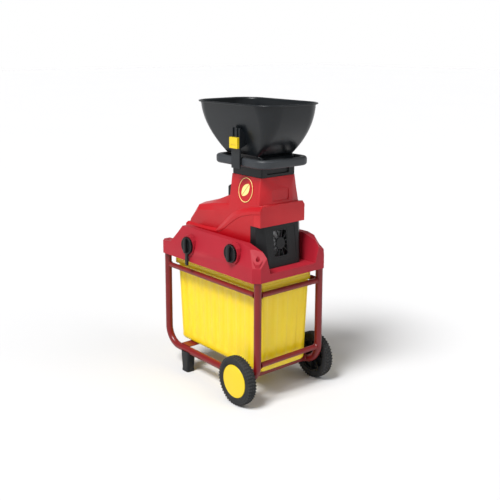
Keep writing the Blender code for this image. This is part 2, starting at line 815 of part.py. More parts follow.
def tower_sections(inset, low):
    """Sections of the tower from below its band up to the collar. Wide facets cut its front corners."""
    stations = (
        (low, SHELL_Y, BODY_FRONT, 0.003, 0.006),
        (0.630, SHELL_Y, BODY_FRONT, 0.003, 0.006),
        (0.655, SHELL_Y - 0.003, THROAT_FRONT + 0.012, 0.009, 0.034),
        (0.700, THROAT_Y + 0.006, THROAT_FRONT + 0.010, 0.011, 0.034),
        (TOWER_TOP, THROAT_Y, THROAT_FRONT, 0.003, 0.008),
    )
    rings = []
    for z, half_y, front, corner_x, corner_y in stations:
        rear = THROAT_REAR + inset
        y = half_y - inset
        x = front - inset
        rings.append(
            [
                (x, -y + corner_y, z),
                (x, y - corner_y, z),
                (x - corner_x, y, z),
                (rear, y, z),
                (rear, -y, z),
                (x - corner_x, -y, z),
            ]
        )
    return rings


def housing():
    """One hollow shell, open below, at the tower's top, and in front for the cover and vent panel."""
    low = DECK_FLOOR + GAP
    shell = lower_body("main_housing", 0.0, low, HUMP_REAR, shell_red("main_housing"))
    join(shell, loft("hump", hump_sections(0.0, low + 0.01)))
    join(shell, loft("tower", tower_sections(0.0, low + 0.02)))
    w = HOUSING_WALL
    cut(shell, lower_body("lower_inside", w, low - 0.010, HUMP_REAR))
    cut(shell, loft("hump_inside", hump_sections(w, low - 0.010)))
    inside = tower_sections(w, low - 0.010)
    inside.append([(x, y, TOWER_TOP + 0.010) for x, y, _ in inside[-1]])
    cut(shell, loft("tower_inside", inside))
    # The front opening: everything ahead of the line where the cover starts.
    split = BODY_FRONT - 0.050
    cut(shell, box("front_opening", (split, -0.2, low - 0.010), (0.4, 0.2, VENT_TOP)))
    cut(
        shell,
        box("cover_opening", (THROAT_FRONT - 0.012, -0.2, VENT_TOP - 0.020), (0.4, 0.2, TOWER_TOP + 0.020)),
    )
    bore = rod(
        "housing_bore",
        SCREW_R + 0.0015,
        "Y",
        (ANVIL_KNOB_X, ANVIL_KNOB_Z),
        -BODY_Y - 0.010,
        -SHELL_Y + 0.012,
    )
    cut(shell, bore)
    socket = box("inlet_hole", (HUMP_REAR - 0.010, -0.019, 0.466), (HUMP_REAR + 0.012, 0.019, 0.500))
    cut(shell, socket)


def front_cover():
    """The faceted cover that closes the tower's front above the vent panel."""
    low = VENT_TOP + GAP
    cover = loft("front_cover", tower_sections(0.0, low), shell_red("front_cover"))
    band = lower_body("cover_band", 0.0, low, 0.120)
    join(cover, band)
    w = HOUSING_WALL
    inside = tower_sections(w, low - 0.010)
    inside.append([(x, y, TOWER_TOP + 0.010) for x, y, _ in inside[-1]])
    cut(cover, loft("cover_inside", inside))
    keep = THROAT_FRONT - 0.012 + GAP
    cut(cover, box("cover_behind", (-0.4, -0.2, low - 0.030), (keep, 0.2, TOWER_TOP + 0.030)))
    recess = chamfered(-0.036, 0.036, 0.664, 0.702, 0.004)
    cut(cover, prism("cover_recess", recess, "X", THROAT_FRONT + 0.0085, THROAT_FRONT + 0.030))


def vent_panel():
    """The black panel below the cover: a leaning frame round a square grille."""
    low = DECK_FLOOR + GAP
    top = VENT_TOP
    rear = BODY_FRONT - 0.050 + GAP
    rings = []
    for x_low, x_top, y_low, y_top in (
        (rear, rear, BODY_Y, BODY_Y),
        (0.196, 0.190, BODY_Y, BODY_Y),
        (VENT_FOOT_X, VENT_TOP_X, VENT_FOOT_Y, VENT_Y),
    ):
        rings.append([(x_low, -y_low, low), (x_low, y_low, low), (x_top, y_top, top), (x_top, -y_top, top)])
    panel = loft("vent_panel", rings, black("vent_panel"))
    inside = [
        [
            (x - 0.006, y * 0.93, low - 0.010 if z == low else top - 0.005)
            for x, y, z in ring
        ] for ring in rings
    ]
    inside[0] = [(x - 0.010, y, z) for x, y, z in inside[0]]
    cut(panel, loft("vent_inside", inside))
    behind = (rear - 0.010, -CHAMBER_Y - 0.004, top - 0.020)
    cut(panel, box("vent_top_opening", behind, (CHAMBER_FRONT + 0.006, CHAMBER_Y + 0.004, top + 0.010)))
    recess = prism("vent_recess", rounded(-0.060, 0.058, 0.464, 0.577, 0.006, 2), "X", -0.0015, 0.030)
    recess.data.transform(lean())
    cut(panel, recess)
    window = grille_outline(0.0)
    cut(panel, prism("vent_window", window, "X", 0.190, 0.250))


def lean():
    """Lays what is built upright at x = 0 into the panel's leaning front face."""
    slope = (VENT_FOOT_X - VENT_TOP_X) / (VENT_TOP - DECK_FLOOR - GAP)
    sheared = Matrix.Identity(4)
    sheared[0][2] = -slope
    sheared[0][3] = VENT_TOP_X + slope * VENT_TOP
    return sheared


def grille_outline(inset):
    return chamfered(
        GRILLE_Y - GRILLE_HALF_Y + inset,
        GRILLE_Y + GRILLE_HALF_Y - inset,
        GRILLE_Z - GRILLE_HALF_Z + inset,
        GRILLE_Z + GRILLE_HALF_Z - inset,
        0.004,
    )


def grille():
    """Grille in the panel's window: a square rim, a round middle and spokes between them."""
    x1 = -0.0020
    x0 = x1 - 0.0035
    centre = (GRILLE_Y, GRILLE_Z)
    body = prism("fan_grille", grille_outline(GAP), "X", x0, x1, black("fan_grille"))
    hole = prism("grille_hole", grille_outline(0.0045), "X", x0 - 0.010, x1 + 0.010)
    hub = rod("grille_hub", GRILLE_HUB_R, "X", centre, x0 - 0.0004, x1 + 0.0009, FINE)
    spokes = []
    for i in range(GRILLE_SPOKES):
        angle = 2 * math.pi * (i + 0.5) / GRILLE_SPOKES
        c, s = math.cos(angle), math.sin(angle)
        reach = min(GRILLE_HALF_Y / max(abs(c), 0.01), GRILLE_HALF_Z / max(abs(s), 0.01)) - 0.0020
        outline = []
        for r, t in (
            (GRILLE_HUB_R - 0.003, -0.0015),
            (reach, -0.0015),
            (reach, 0.0015),
            (GRILLE_HUB_R - 0.003, 0.0015),
        ):
            outline.append((centre[0] + r * c - t * s, centre[1] + r * s + t * c))
        spokes.append(prism(f"grille_spoke_{i}", outline, "X", x0 + 0.0003, x1 - 0.0003))
    for each in (body, hole, hub, *spokes):
        each.data.transform(lean())
    cut(body, hole)
    join(body, hub, *spokes)


# ---- Collar, handle and hopper -------------------------------------------------------------------


def collar():
    """The black collar on the tower, with a pocket in its front face. The hopper's neck plugs into it."""
    body = loft(
        "collar",
        [
            level(rounded(THROAT_REAR, THROAT_FRONT, -THROAT_Y, THROAT_Y, 0.006, 2), TOWER_TOP + GAP),
            level(rounded(THROAT_REAR, THROAT_FRONT, -THROAT_Y, THROAT_Y, 0.006, 2), COLLAR_TOP - 0.006),
            level(rounded(THROAT_REAR, THROAT_FRONT, -THROAT_Y, THROAT_Y, 0.006, 2), COLLAR_TOP),
        ],
        black("collar"),
    )
    w = COLLAR_WALL
    inner = rounded(THROAT_REAR + w, THROAT_FRONT - w, -THROAT_Y + w, THROAT_Y - w, NECK_CORNER, 2)
    cut(body, prism("collar_inside", inner, "Z", TOWER_TOP - 0.010, COLLAR_TOP + 0.010))
    pocket = chamfered(-0.052, 0.046, TOWER_TOP + 0.010, COLLAR_TOP - 0.006, 0.004)
    cut(body, prism("collar_pocket", pocket, "X", THROAT_FRONT - 0.006, THROAT_FRONT + 0.010))


def ring_handle():
    """The handle: one closed bar round the neck, standing off it, on four short arms over the collar."""
    low = RING_Z - RING_HALF_HEIGHT
    top = RING_Z + RING_HALF_HEIGHT
    outer = rounded(RING_REAR, RING_FRONT, -RING_Y, RING_Y, RING_CORNER, 5)
    inner = rounded(
        RING_REAR + RING_BAR,
        RING_FRONT - RING_BAR,
        -RING_Y + RING_BAR,
        RING_Y - RING_BAR,
        RING_CORNER - RING_BAR * 0.7,
        5,
    )
    soft = 0.005
    rings = []
    for outline, z, grow in (
        (outer, low, -soft), (outer, low + soft, 0.0), (outer, top - soft, 0.0), (outer, top, -soft)
    ):
        rings.append(level(shrunk(outline, grow), z))
    for z, grow in ((top, soft), (top - soft, 0.0), (low + soft, 0.0), (low, soft)):
        rings.append(level(shrunk(inner, grow), z))
    body = loft("ring_handle", rings, black("ring_handle"), closed=True)
    arm_low = COLLAR_TOP + GAP
    arm_top = COLLAR_TOP + ARM_THICK
    for i, (x0, x1, y0, y1) in enumerate(
        (
            (THROAT_FRONT - 0.011, RING_FRONT - 0.010, -0.062, -0.044),
            (THROAT_FRONT - 0.011, RING_FRONT - 0.010, 0.044, 0.062),
            (RING_REAR + 0.010, THROAT_REAR + 0.011, -0.062, -0.044),
            (RING_REAR + 0.010, THROAT_REAR + 0.011, 0.044, 0.062),
        )
    ):
        join(body, box(f"ring_arm_{i}", (x0, y0, arm_low), (x1, y1, arm_top)))


def shrunk(outline, grow):
    """An outline moved in or out along its own normals."""
    count = len(outline)
    moved = []
    for i, (x, y) in enumerate(outline):
        before = outline[i - 1]
        after = outline[(i + 1) % count]
        dx, dy = after[0] - before[0], after[1] - before[1]
        size = math.hypot(dx, dy)
        moved.append((x + grow * dy / size, y - grow * dx / size))
    return moved


def bowl_ring(t, inset):
    """The bowl's wall at a share of its height: its ends open quickly above the neck, its sides evenly."""
    opened = 1 - (1 - t) ** BOWL_SWELL
    x = BOWL_FOOT_X + (RIM_X - BOWL_FOOT_X) * opened
    half_x = BOWL_FOOT_HALF_X + (RIM_HALF_X - LIP - BOWL_FOOT_HALF_X) * opened - inset
    half_y = BOWL_FOOT_HALF_Y + (RIM_HALF_Y - LIP - BOWL_FOOT_HALF_Y) * t - inset
    corner = NECK_CORNER + (RIM_CORNER - LIP - NECK_CORNER) * t - inset * 0.5
    outline = rounded(x - half_x, x + half_x, -half_y, half_y, corner, 5)
    return level(outline, BOWL_LOW + (RIM_Z - LIP_DROP - BOWL_LOW) * t)


def wall_middle(z):
    """The y of the middle of the bowl's wall on the knob side, at a height."""
    t = (z - BOWL_LOW) / (RIM_Z - LIP_DROP - BOWL_LOW)
    return HOPPER_WALL / 2 - BOWL_FOOT_HALF_Y - (RIM_HALF_Y - LIP - BOWL_FOOT_HALF_Y) * t


def neck_ring(z, half_x, half_y):
    return level(rounded(THROAT_X - half_x, THROAT_X + half_x, -half_y, half_y, NECK_CORNER, 5), z)


def hopper():
    """The feed hopper, with the strap and guide ribs of its latch, lifted out of the collar in one piece."""
    lift = pivot("hopper_lift_axis", (THROAT_X, 0.0, COLLAR_TOP))
    plug_x = (THROAT_FRONT - THROAT_REAR) / 2 - COLLAR_WALL - SLIDE
    plug_y = THROAT_Y - COLLAR_WALL - SLIDE
    shoulder = COLLAR_TOP + ARM_THICK + GAP
    low = COLLAR_TOP - NECK_PLUG
    outer = [
        neck_ring(low, plug_x, plug_y),
        neck_ring(shoulder, plug_x, plug_y),
        neck_ring(shoulder, NECK_HALF, NECK_HALF),
        neck_ring(BOWL_LOW - 0.005, NECK_HALF, NECK_HALF),
        *[bowl_ring(i / BOWL_STEPS, 0.0) for i in range(BOWL_STEPS + 1)],
    ]
    inner = [
        neck_ring(low, plug_x - HOPPER_WALL, plug_y - HOPPER_WALL),
        neck_ring(BOWL_LOW - 0.002, plug_x - HOPPER_WALL, plug_y - HOPPER_WALL),
        *[bowl_ring(i / BOWL_STEPS, HOPPER_WALL) for i in range(BOWL_STEPS + 1)],
    ]
    lip = rounded(RIM_X - RIM_HALF_X, RIM_X + RIM_HALF_X, -RIM_HALF_Y, RIM_HALF_Y, RIM_CORNER, 5)
    mouth = [(x, y, RIM_Z) for x, y, _ in inner[-1]]
    rings = [*outer, level(lip, RIM_Z - 0.003), level(lip, RIM_Z), mouth, *inner[::-1]]
    body = loft("hopper", rings, black("hopper"), closed=True)
    face = -STRAP_FACE
    strap = (
        (face, STRAP_LOW),
        (face, STRAP_TOP),
        (face + STRAP_THICK, STRAP_TOP),
        (wall_middle(STRAP_TOP - 0.015), STRAP_TOP - 0.015),
        (wall_middle(0.850), 0.850),
        (face + STRAP_THICK, 0.838),
        (face + STRAP_THICK, STRAP_LOW),
    )
    strap_body = prism("strap", strap, "X", STRAP_X - STRAP_HALF, STRAP_X + STRAP_HALF)
    join(body, strap_body)
    tools = [strap_body]
    for i, x in enumerate((STRAP_X - 0.010, STRAP_X + 0.010)):
        rib = box(
            f"strap_rib_{i}", (x - 0.0015, face - 0.0045, 0.876), (x + 0.0015, face + 0.002, STRAP_TOP)
        )
        join(body, rib)
        tools.append(rib)
    hang(lift, body, *tools)
    latch = box(
        "hopper_latch",
        (STRAP_X - 0.020, face - GAP - 0.0095, 0.838),
        (STRAP_X + 0.020, face - GAP, 0.874),
        yellow("hopper_latch"),
    )
    slot = box(
        "hopper_latch_grip", (STRAP_X - 0.013, face - 0.020, 0.843), (STRAP_X + 0.013, face - 0.0085, 0.850)
    )
    cut(latch, slot)


# ---- Knobs on the deck ---------------------------------------------------------------------------


def knob(name, x, z, tail, material):
    """A round knob with a grip bar across it, sunk in its boss. The bin's knob has a tail to the rim."""
    back = -DECK_Y + 0.002 - GAP
    face = -DECK_Y - BOSS - 0.0065
    body = rod(name, KNOB_R, "Y", (x, z), face, back, FINE, material)
    bar = box(
        name + "_bar",
        (x - 0.007, face - KNOB_DEPTH + 0.003, z - 0.026),
        (x + 0.007, face + 0.001, z + 0.026),
    )
    join(body, bar)
    tools = [bar]
    if tail:
        low = box(name + "_tail", (x - 0.007, face, BIN_TOP - 0.010), (x + 0.007, face + 0.006, z - 0.010))
        stem = rod(name + "_stem", SCREW_R, "Y", (x, z), back - 0.001, -DECK_Y + 0.030)
        join(body, low, stem)
        tools += [low, stem]
    return body, tools


def deck_knobs():
    turn = pivot("bin_latch_axis", (LATCH_X, -DECK_Y, LATCH_Z))
    body, tools = knob("bin_latch", LATCH_X, LATCH_Z, True, black("bin_latch"))
    hang(turn, body, *tools)
    turn = pivot("anvil_knob_axis", (ANVIL_KNOB_X, -DECK_Y, ANVIL_KNOB_Z))
    body, tools = knob("anvil_knob", ANVIL_KNOB_X, ANVIL_KNOB_Z, False, black("anvil_knob"))
    start = -DECK_Y + 0.002
    end = ANVIL_FACE - ANVIL_THICK - 0.0005
    screw = rod(
        "anvil_screw", SCREW_R, "Y", (ANVIL_KNOB_X, ANVIL_KNOB_Z), start, end, SIDES, steel("anvil_screw")
    )
    hang(turn, body, screw, *tools)


# ---- Cutting gear --------------------------------------------------------------------------------


def chamber():
    """The cast box round the drum, open above to the throat and below to the bin."""
    low = DECK_FLOOR + GAP
    body = box(
        "cutting_chamber",
        (CHAMBER_REAR, -CHAMBER_Y, low),
        (CHAMBER_FRONT, CHAMBER_Y, CHAMBER_TOP),
        alloy("cutting_chamber"),
    )
    inner_y = CHAMBER_Y - CHAMBER_WALL
    ledge = DRUM_Z - ANVIL_BELOW - GAP
    upper = box(
        "chamber_inside",
        (DRUM_REAR - SLIDE, -inner_y, ledge),
        (DRUM_FRONT + SLIDE, inner_y, CHAMBER_TOP + 0.010),
    )
    lower = box(
        "chamber_below_ledge",
        (DRUM_REAR - SLIDE, ANVIL_FACE - 0.002, low - 0.010),
        (DRUM_FRONT + SLIDE, inner_y, ledge + 0.010),
    )
    drum_axis = (0.0, DRUM_Z)
    bore = rod(
        "chamber_bore", BEARING_R + GAP, "X", drum_axis, CHAMBER_REAR - 0.010, CHAMBER_FRONT + 0.010, FINE
    )
    middle = rod(
        "middle_shaft_seat",
        MIDDLE_SHAFT_R + RUN,
        "X",
        (MIDDLE_Y, MIDDLE_Z),
        CHAMBER_REAR - 0.010,
        CHAMBER_REAR + 0.005,
    )
    screw = rod(
        "anvil_screw_bore",
        SCREW_R + RUN,
        "Y",
        (ANVIL_KNOB_X, ANVIL_KNOB_Z),
        -CHAMBER_Y - 0.010,
        -inner_y + 0.003,
    )
    cut(body, upper, lower, bore, middle, screw)
    for end, x0 in (("rear", CHAMBER_REAR), ("front", CHAMBER_FRONT - CHAMBER_WALL)):
        name = "drum_bearing_" + end
        bush(
            name,
            BEARING_R,
            SHAFT_R + RUN,
            "X",
            drum_axis,
            x0 + GAP,
            x0 + CHAMBER_WALL - GAP,
            FINE,
            steel(name),
        )


def gear_outline(teeth, module, centre, facing, gap_there):
    """The outline of a spur gear with straight-sided teeth. One tooth, or one gap, faces its mate."""
    pitch = module * teeth / 2
    outer = pitch + 0.85 * module
    root = pitch - 1.15 * module
    step = 2 * math.pi / teeth
    first = facing + (step / 2 if gap_there else 0.0)
    points = []
    for i in range(teeth):
        middle = first + step * i
        for radius, share in ((root, -0.33), (outer, -0.12), (outer, 0.12), (root, 0.33)):
            angle = middle + step * share
            points.append((centre[0] + radius * math.cos(angle), centre[1] + radius * math.sin(angle)))
    return points


def gear(name, teeth, module, centre, toward, gap_there, front, bore):
    facing = math.atan2(toward[1] - centre[1], toward[0] - centre[0])
    outline = gear_outline(teeth, module, centre, facing, gap_there)
    body = prism(name, outline, "X", front - GEAR_WIDTH, front, steel(name))
    if not bore:
        return body, []
    hole = rod(name + "_bore", bore + GAP, "X", centre, front - GEAR_WIDTH - 0.010, front + 0.010)
    cut(body, hole)
    return body, [hole]


def drum():
    """The cutting drum, a thick roller with hooked edges, and its shaft and gear."""
    centre = (0.0, DRUM_Z)
    spin = pivot("drum_axis", (THROAT_X, 0.0, DRUM_Z))
    outline = []
    step = 2 * math.pi / DRUM_TEETH
    for i in range(DRUM_TEETH):
        for share, radius in (
            (0.0, DRUM_R), (0.06, DRUM_R), (0.16, DRUM_R - 0.008), (0.60, DRUM_R - 0.006)
        ):
            angle = step * (i + share)
            outline.append((centre[0] + radius * math.cos(angle), centre[1] + radius * math.sin(angle)))
    roller = prism("cutting_drum", outline, "X", DRUM_REAR, DRUM_FRONT, steel("cutting_drum"))
    bore = rod("drum_bore", SHAFT_R + GAP, "X", centre, DRUM_REAR - 0.010, DRUM_FRONT + 0.010)
    cut(roller, bore)
    shaft_rear = SLOW_GEARS_FRONT - GEAR_WIDTH - 0.004
    shaft = rod(
        "drum_shaft", SHAFT_R, "X", centre, shaft_rear, CHAMBER_FRONT + 0.004, SIDES, steel("drum_shaft")
    )
    wheel_body, holes = gear(
        "drum_gear",
        DRUM_GEAR_TEETH,
        DRUM_MODULE,
        centre,
        (MIDDLE_Y, MIDDLE_Z),
        False,
        SLOW_GEARS_FRONT,
        SHAFT_R,
    )
    hang(spin, roller, bore, shaft, wheel_body, *holes)


def middle_gears():
    centre = (MIDDLE_Y, MIDDLE_Z)
    spin = pivot("middle_axis", (SLOW_GEARS_FRONT, MIDDLE_Y, MIDDLE_Z))
    pinion, holes = gear(
        "middle_pinion",
        DRUM_PINION_TEETH,
        DRUM_MODULE,
        centre,
        (0.0, DRUM_Z),
        True,
        SLOW_GEARS_FRONT,
        MIDDLE_SHAFT_R,
    )
    wheel_body, more = gear(
        "fast_gear",
        FAST_GEAR_TEETH,
        FAST_MODULE,
        centre,
        (0.0, MOTOR_Z),
        False,
        FAST_GEARS_FRONT,
        MIDDLE_SHAFT_R,
    )
    rear = CASE_REAR + CASE_WALL * 0.4
    shaft = rod(
        "middle_shaft",
        MIDDLE_SHAFT_R,
        "X",
        centre,
        rear,
        CHAMBER_REAR + 0.0045,
        SIDES,
        steel("middle_shaft"),
    )
    hang(spin, pinion, wheel_body, shaft, *holes, *more)


def gear_case():
    """The case round the gears: its open front meets the chamber, and its back closes the motor."""
    reach = FAST_MODULE * FAST_GEAR_TEETH / 2 + FAST_MODULE
    big = DRUM_MODULE * DRUM_GEAR_TEETH / 2 + DRUM_MODULE
    clear = 0.003
    low = (CASE_REAR + CASE_WALL, -big - clear, DRUM_Z - big - clear)
    high = (CHAMBER_REAR - GAP, MIDDLE_Y + reach + clear, MIDDLE_Z + reach + clear)
    w = CASE_WALL
    body = box(
        "gear_case", (CASE_REAR, low[1] - w, low[2] - w), (
            high[0], high[1] + w, high[2] + w
        ), alloy("gear_case")
    )
    inside = box("gear_case_inside", low, (high[0] + 0.010, high[1], high[2]))
    motor = rod(
        "gear_case_motor_bore", MOTOR_SHAFT_R + RUN, "X", (0.0, MOTOR_Z), CASE_REAR - 0.010, low[0] + 0.010
    )
    middle = rod(
        "gear_case_middle_bore",
        MIDDLE_SHAFT_R + RUN,
        "X",
        (MIDDLE_Y, MIDDLE_Z),
        CASE_REAR + w * 0.3,
        low[0] + 0.010,
    )
    cut(body, inside, motor, middle)


def motor():
    centre = (0.0, MOTOR_Z)
    wall = 0.003
    can = rod("motor_can", MOTOR_R, "X", centre, MOTOR_REAR, MOTOR_FRONT, FINE, black("motor_can"))
    inside = rod(
        "motor_can_inside", MOTOR_R - wall, "X", centre, MOTOR_REAR + 0.006, MOTOR_FRONT + 0.010, FINE
    )
    bore = rod("motor_can_bore", MOTOR_SHAFT_R + RUN, "X", centre, MOTOR_REAR - 0.010, MOTOR_REAR + 0.020)
    cut(can, inside, bore)
    stator_r = MOTOR_R - wall - GAP
    rotor_r = 0.028
    x0, x1 = MOTOR_REAR + 0.020, MOTOR_FRONT - 0.014
    bush("motor_stator", stator_r, rotor_r + RUN, "X", centre, x0, x1, FINE, steel("motor_stator"))
    spin = pivot("rotor_axis", (MOTOR_REAR, 0.0, MOTOR_Z))
    pinion_rear = FAST_GEARS_FRONT - GEAR_WIDTH
    profile = (
        (MOTOR_SHAFT_R, MOTOR_REAR - 0.018),
        (MOTOR_SHAFT_R, x0),
        (rotor_r, x0),
        (rotor_r, x1),
        (MOTOR_SHAFT_R, x1),
        (MOTOR_SHAFT_R, pinion_rear - GAP),
    )
    rotor = turned("motor_rotor", profile, "X", centre, FINE, steel("motor_rotor"))
    pinion, _ = gear(
        "motor_pinion",
        FAST_PINION_TEETH,
        FAST_MODULE,
        centre,
        (MIDDLE_Y, MIDDLE_Z),
        True,
        FAST_GEARS_FRONT,
        0.0,
    )
    fan_front = MOTOR_REAR - 0.003
    disc = bush(
        "motor_fan",
        0.040,
        MOTOR_SHAFT_R + GAP,
        "X",
        centre,
        fan_front - 0.003,
        fan_front,
        FINE,
        black("motor_fan"),
    )
    tools = []
    for i in range(6):
        angle = math.radians(60 * i)
        c, s = math.cos(angle), math.sin(angle)
        blade = []
        for r, t in ((0.012, -0.001), (0.039, -0.001), (0.039, 0.001), (0.012, 0.001)):
            blade.append((centre[0] + r * c - t * s, centre[1] + r * s + t * c))
        tools.append(prism(f"fan_blade_{i}", blade, "X", fan_front - 0.013, fan_front - 0.002))
    join(disc, *tools)
    hang(spin, rotor, pinion, disc, *tools)
    rod(
        "capacitor",
        0.016,
        "X",
        (-0.072, DECK_FLOOR + GAP + 0.0165),
        -0.130,
        -0.068,
        FINE,
        black("capacitor"),
    )


def anvil():
    """The plate that the drum cuts against; the screw moves it towards the drum."""
    box(
        "anvil_plate",
        (DRUM_REAR - SLIDE + GAP, ANVIL_FACE - ANVIL_THICK, DRUM_Z - ANVIL_BELOW),
        (DRUM_FRONT + SLIDE - GAP, ANVIL_FACE, DRUM_Z + ANVIL_ABOVE),
        steel("anvil_plate"),
    )


def throat():
    """The duct that leads from the collar down to the chamber."""
    w = 0.003
    top = rounded(THROAT_REAR + 0.0135, THROAT_FRONT - 0.0135, -0.0605, 0.0605, 0.010, 2)
    low = rounded(
        CHAMBER_REAR + 0.001, CHAMBER_FRONT - 0.001, -CHAMBER_Y + 0.004, CHAMBER_Y - 0.004, 0.010, 2
    )
    z0, z1 = CHAMBER_TOP + GAP, TOWER_TOP - GAP
    rings = [level(low, z0), level(top, z1), level(shrunk(top, -w), z1), level(shrunk(low, -w), z0)]
    loft("feed_throat", rings, black("feed_throat"), closed=True)


# ---- Electrical pieces ---------------------------------------------------------------------------


def roof_height(x):
    """Height of the hump's roof along its middle."""
    stations = [(ring[3][0], ring[3][2]) for ring in hump_sections(0.0, 0.0)]
    for (x0, z0), (x1, z1) in zip(stations, stations[1:]):
        if x <= x1:
            return z0 + (z1 - z0) * (x - x0) / (x1 - x0)
    return stations[-1][1]


def switches():
    """The switch box on the hump's roof, with its two buttons, direction selector and reset."""
    rear, front = -0.030, THROAT_REAR - 0.001
    knee = HUMP_REAR + 0.200
    top_rear, top_front = 0.688, 0.702
    outline = [
        (rear, roof_height(rear) + GAP),
        (knee, roof_height(knee) + GAP),
        (front, roof_height(front) + GAP),
        (front, top_front),
        (0.004, top_front - 0.001),
        (rear + 0.006, top_rear),
        (rear, top_rear - 0.005),
    ]
    half = 0.033
    body = prism("switch_box", outline, "Y", -half, half, black("switch_box"))
    top = 0.690
    for name, y, color in (
        ("start_button", -0.016, (0.02, 0.30, 0.06)), ("stop_button", 0.016, (0.55, 0.01, 0.01))
    ):
        x = -0.009
        cut(body, rod(name + "_well", 0.0080 + RUN, "Z", (x, y), top - 0.012, top + 0.020, SIDES))
        press = pivot(name + "_axis", (x, y, top))
        button = rod(name, 0.0080, "Z", (x, y), top - 0.0070, top + 0.0065, SIDES, paint(name, color, 0.4))
        hang(press, button)
    x = 0.024
    well_low = top_front - 0.008
    cut(body, rod("selector_well", 0.0100 + RUN, "Z", (x, 0.0), well_low, top_front + 0.010, FINE))
    turn = pivot("selector_axis", (x, 0.0, top_front))
    dial = rod(
        "direction_selector",
        0.0100,
        "Z",
        (x, 0.0),
        well_low + GAP,
        top_front + 0.003,
        FINE,
        black("direction_selector"),
    )
    bar = box(
        "selector_bar", (x - 0.0085, -0.0025, top_front + 0.002), (x + 0.0085, 0.0025, top_front + 0.010)
    )
    join(dial, bar)
    hang(turn, dial, bar)
    z = 0.672
    cut(body, rod("reset_well", 0.0040 + RUN, "X", (0.0, z), rear - 0.010, rear + 0.010, SIDES))
    press = pivot("reset_axis", (rear, 0.0, z))
    button = rod(
        "reset_button",
        0.0040,
        "X",
        (0.0, z),
        rear - 0.004,
        rear + 0.006,
        SIDES,
        paint("reset_button", (0.5, 0.02, 0.02), 0.4),
    )
    hang(press, button)


def inlet():
    """The recessed mains inlet in the rear wall of the housing, with its three pins."""
    wall = HUMP_REAR
    flange = box(
        "inlet_socket", (wall - 0.0025, -0.024, 0.461), (wall - GAP, 0.024, 0.505), black("inlet_socket")
    )
    barrel = box("inlet_barrel", (wall - 0.001, -0.0185, 0.4665), (wall + 0.026, 0.0185, 0.4995))
    join(flange, barrel)
    cut(flange, box("inlet_well", (wall - 0.010, -0.0140, 0.4710), (wall + 0.020, 0.0140, 0.4950)))
    for i, (y, z) in enumerate(((-0.007, 0.480), (0.007, 0.480), (0.0, 0.488))):
        join(flange, rod(f"inlet_pin_{i}", 0.0018, "X", (y, z), wall + 0.004, wall + 0.022, 6))


# ---- Build ---------------------------------------------------------------------------------------

frame()
axle()
for side, sign in (("left", -1), ("right", 1)):
    wheel(side, sign)
    foot(side, sign)
deck()
deck_screws()
catching_bin()
housing()
front_cover()
vent_panel()
grille()
collar()
ring_handle()
hopper()
deck_knobs()
chamber()
drum()
middle_gears()
gear_case()
motor()
anvil()
throat()
switches()
inlet()
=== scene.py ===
"""Looks of the electric garden shredder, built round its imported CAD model.

Axes as in the model: +X is the wheel end, -Y the side with the two knobs, +Z up, ground at z = 0, metres.
A visible piece is built from shells, which are (points, faces) pairs, or it is a CAD node's copy with rounded
edges. It rides on the body of the node that it stands for.
"""

import json
import math

import bmesh
import bpy
from mathutils import Matrix, Vector

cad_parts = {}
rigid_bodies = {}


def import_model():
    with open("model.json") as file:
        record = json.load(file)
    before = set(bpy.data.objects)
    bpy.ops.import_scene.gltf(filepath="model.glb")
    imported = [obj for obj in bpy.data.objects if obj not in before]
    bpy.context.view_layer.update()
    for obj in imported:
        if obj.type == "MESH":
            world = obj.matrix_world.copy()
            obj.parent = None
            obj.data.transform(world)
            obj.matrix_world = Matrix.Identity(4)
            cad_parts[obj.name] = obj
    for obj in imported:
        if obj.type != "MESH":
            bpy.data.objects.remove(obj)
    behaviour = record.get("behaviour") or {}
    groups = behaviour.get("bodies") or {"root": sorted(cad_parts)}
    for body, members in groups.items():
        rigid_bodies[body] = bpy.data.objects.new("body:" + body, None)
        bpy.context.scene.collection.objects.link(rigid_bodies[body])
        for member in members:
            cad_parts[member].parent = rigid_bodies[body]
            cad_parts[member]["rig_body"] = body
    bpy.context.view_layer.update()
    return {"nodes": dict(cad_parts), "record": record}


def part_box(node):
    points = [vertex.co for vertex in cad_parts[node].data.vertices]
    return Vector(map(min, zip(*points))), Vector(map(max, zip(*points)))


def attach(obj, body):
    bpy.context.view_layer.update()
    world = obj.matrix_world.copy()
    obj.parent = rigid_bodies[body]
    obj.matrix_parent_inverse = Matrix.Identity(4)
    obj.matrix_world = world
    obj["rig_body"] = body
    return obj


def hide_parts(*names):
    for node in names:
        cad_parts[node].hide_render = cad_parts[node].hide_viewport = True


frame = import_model()

TAU = 2 * math.pi
GAP = 0.0003  # left between shells that would touch


def span(node):
    """Lowest corner, highest corner and middle of a CAD node."""
    low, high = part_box(node)
    return low, high, (low + high) / 2


TUBE_LOW, TUBE_HIGH, TUBE_MID = span("side_tube_left")
MID = TUBE_MID.x  # middle of the legs
LEG_Y = span("side_tube_right")[2].y
TUBE_R = (TUBE_HIGH.y - TUBE_LOW.y) / 2
LEG_X = (TUBE_HIGH.x - TUBE_LOW.x) / 2 - TUBE_R
BASE_Z = TUBE_LOW.z + TUBE_R  # middle line of the tubes' low stretch
LEG_TOP = TUBE_HIGH.z
BEND_R = 0.065  # middle line of the tubes' bends

# ---- Materials -----------------------------------------------------------------------------------

MIX_FACTOR, MIX_UNDER, MIX_OVER, MIX_OUT = 0, 6, 7, 2  # the colour sockets of a mix node
DUST_COLOR = (0.45, 0.42, 0.38)
WORN_FROM, WORN_TO = 0.53, 0.62  # pointiness where wear starts and is complete
ROUGHNESS_SPREAD = 0.07


def node_of(tree, kind, **inputs):
    """A new shader node with its inputs set by name."""
    made = tree.nodes.new(kind)
    for key, value in inputs.items():
        made.inputs[key.replace("_", " ")].default_value = value
    return made


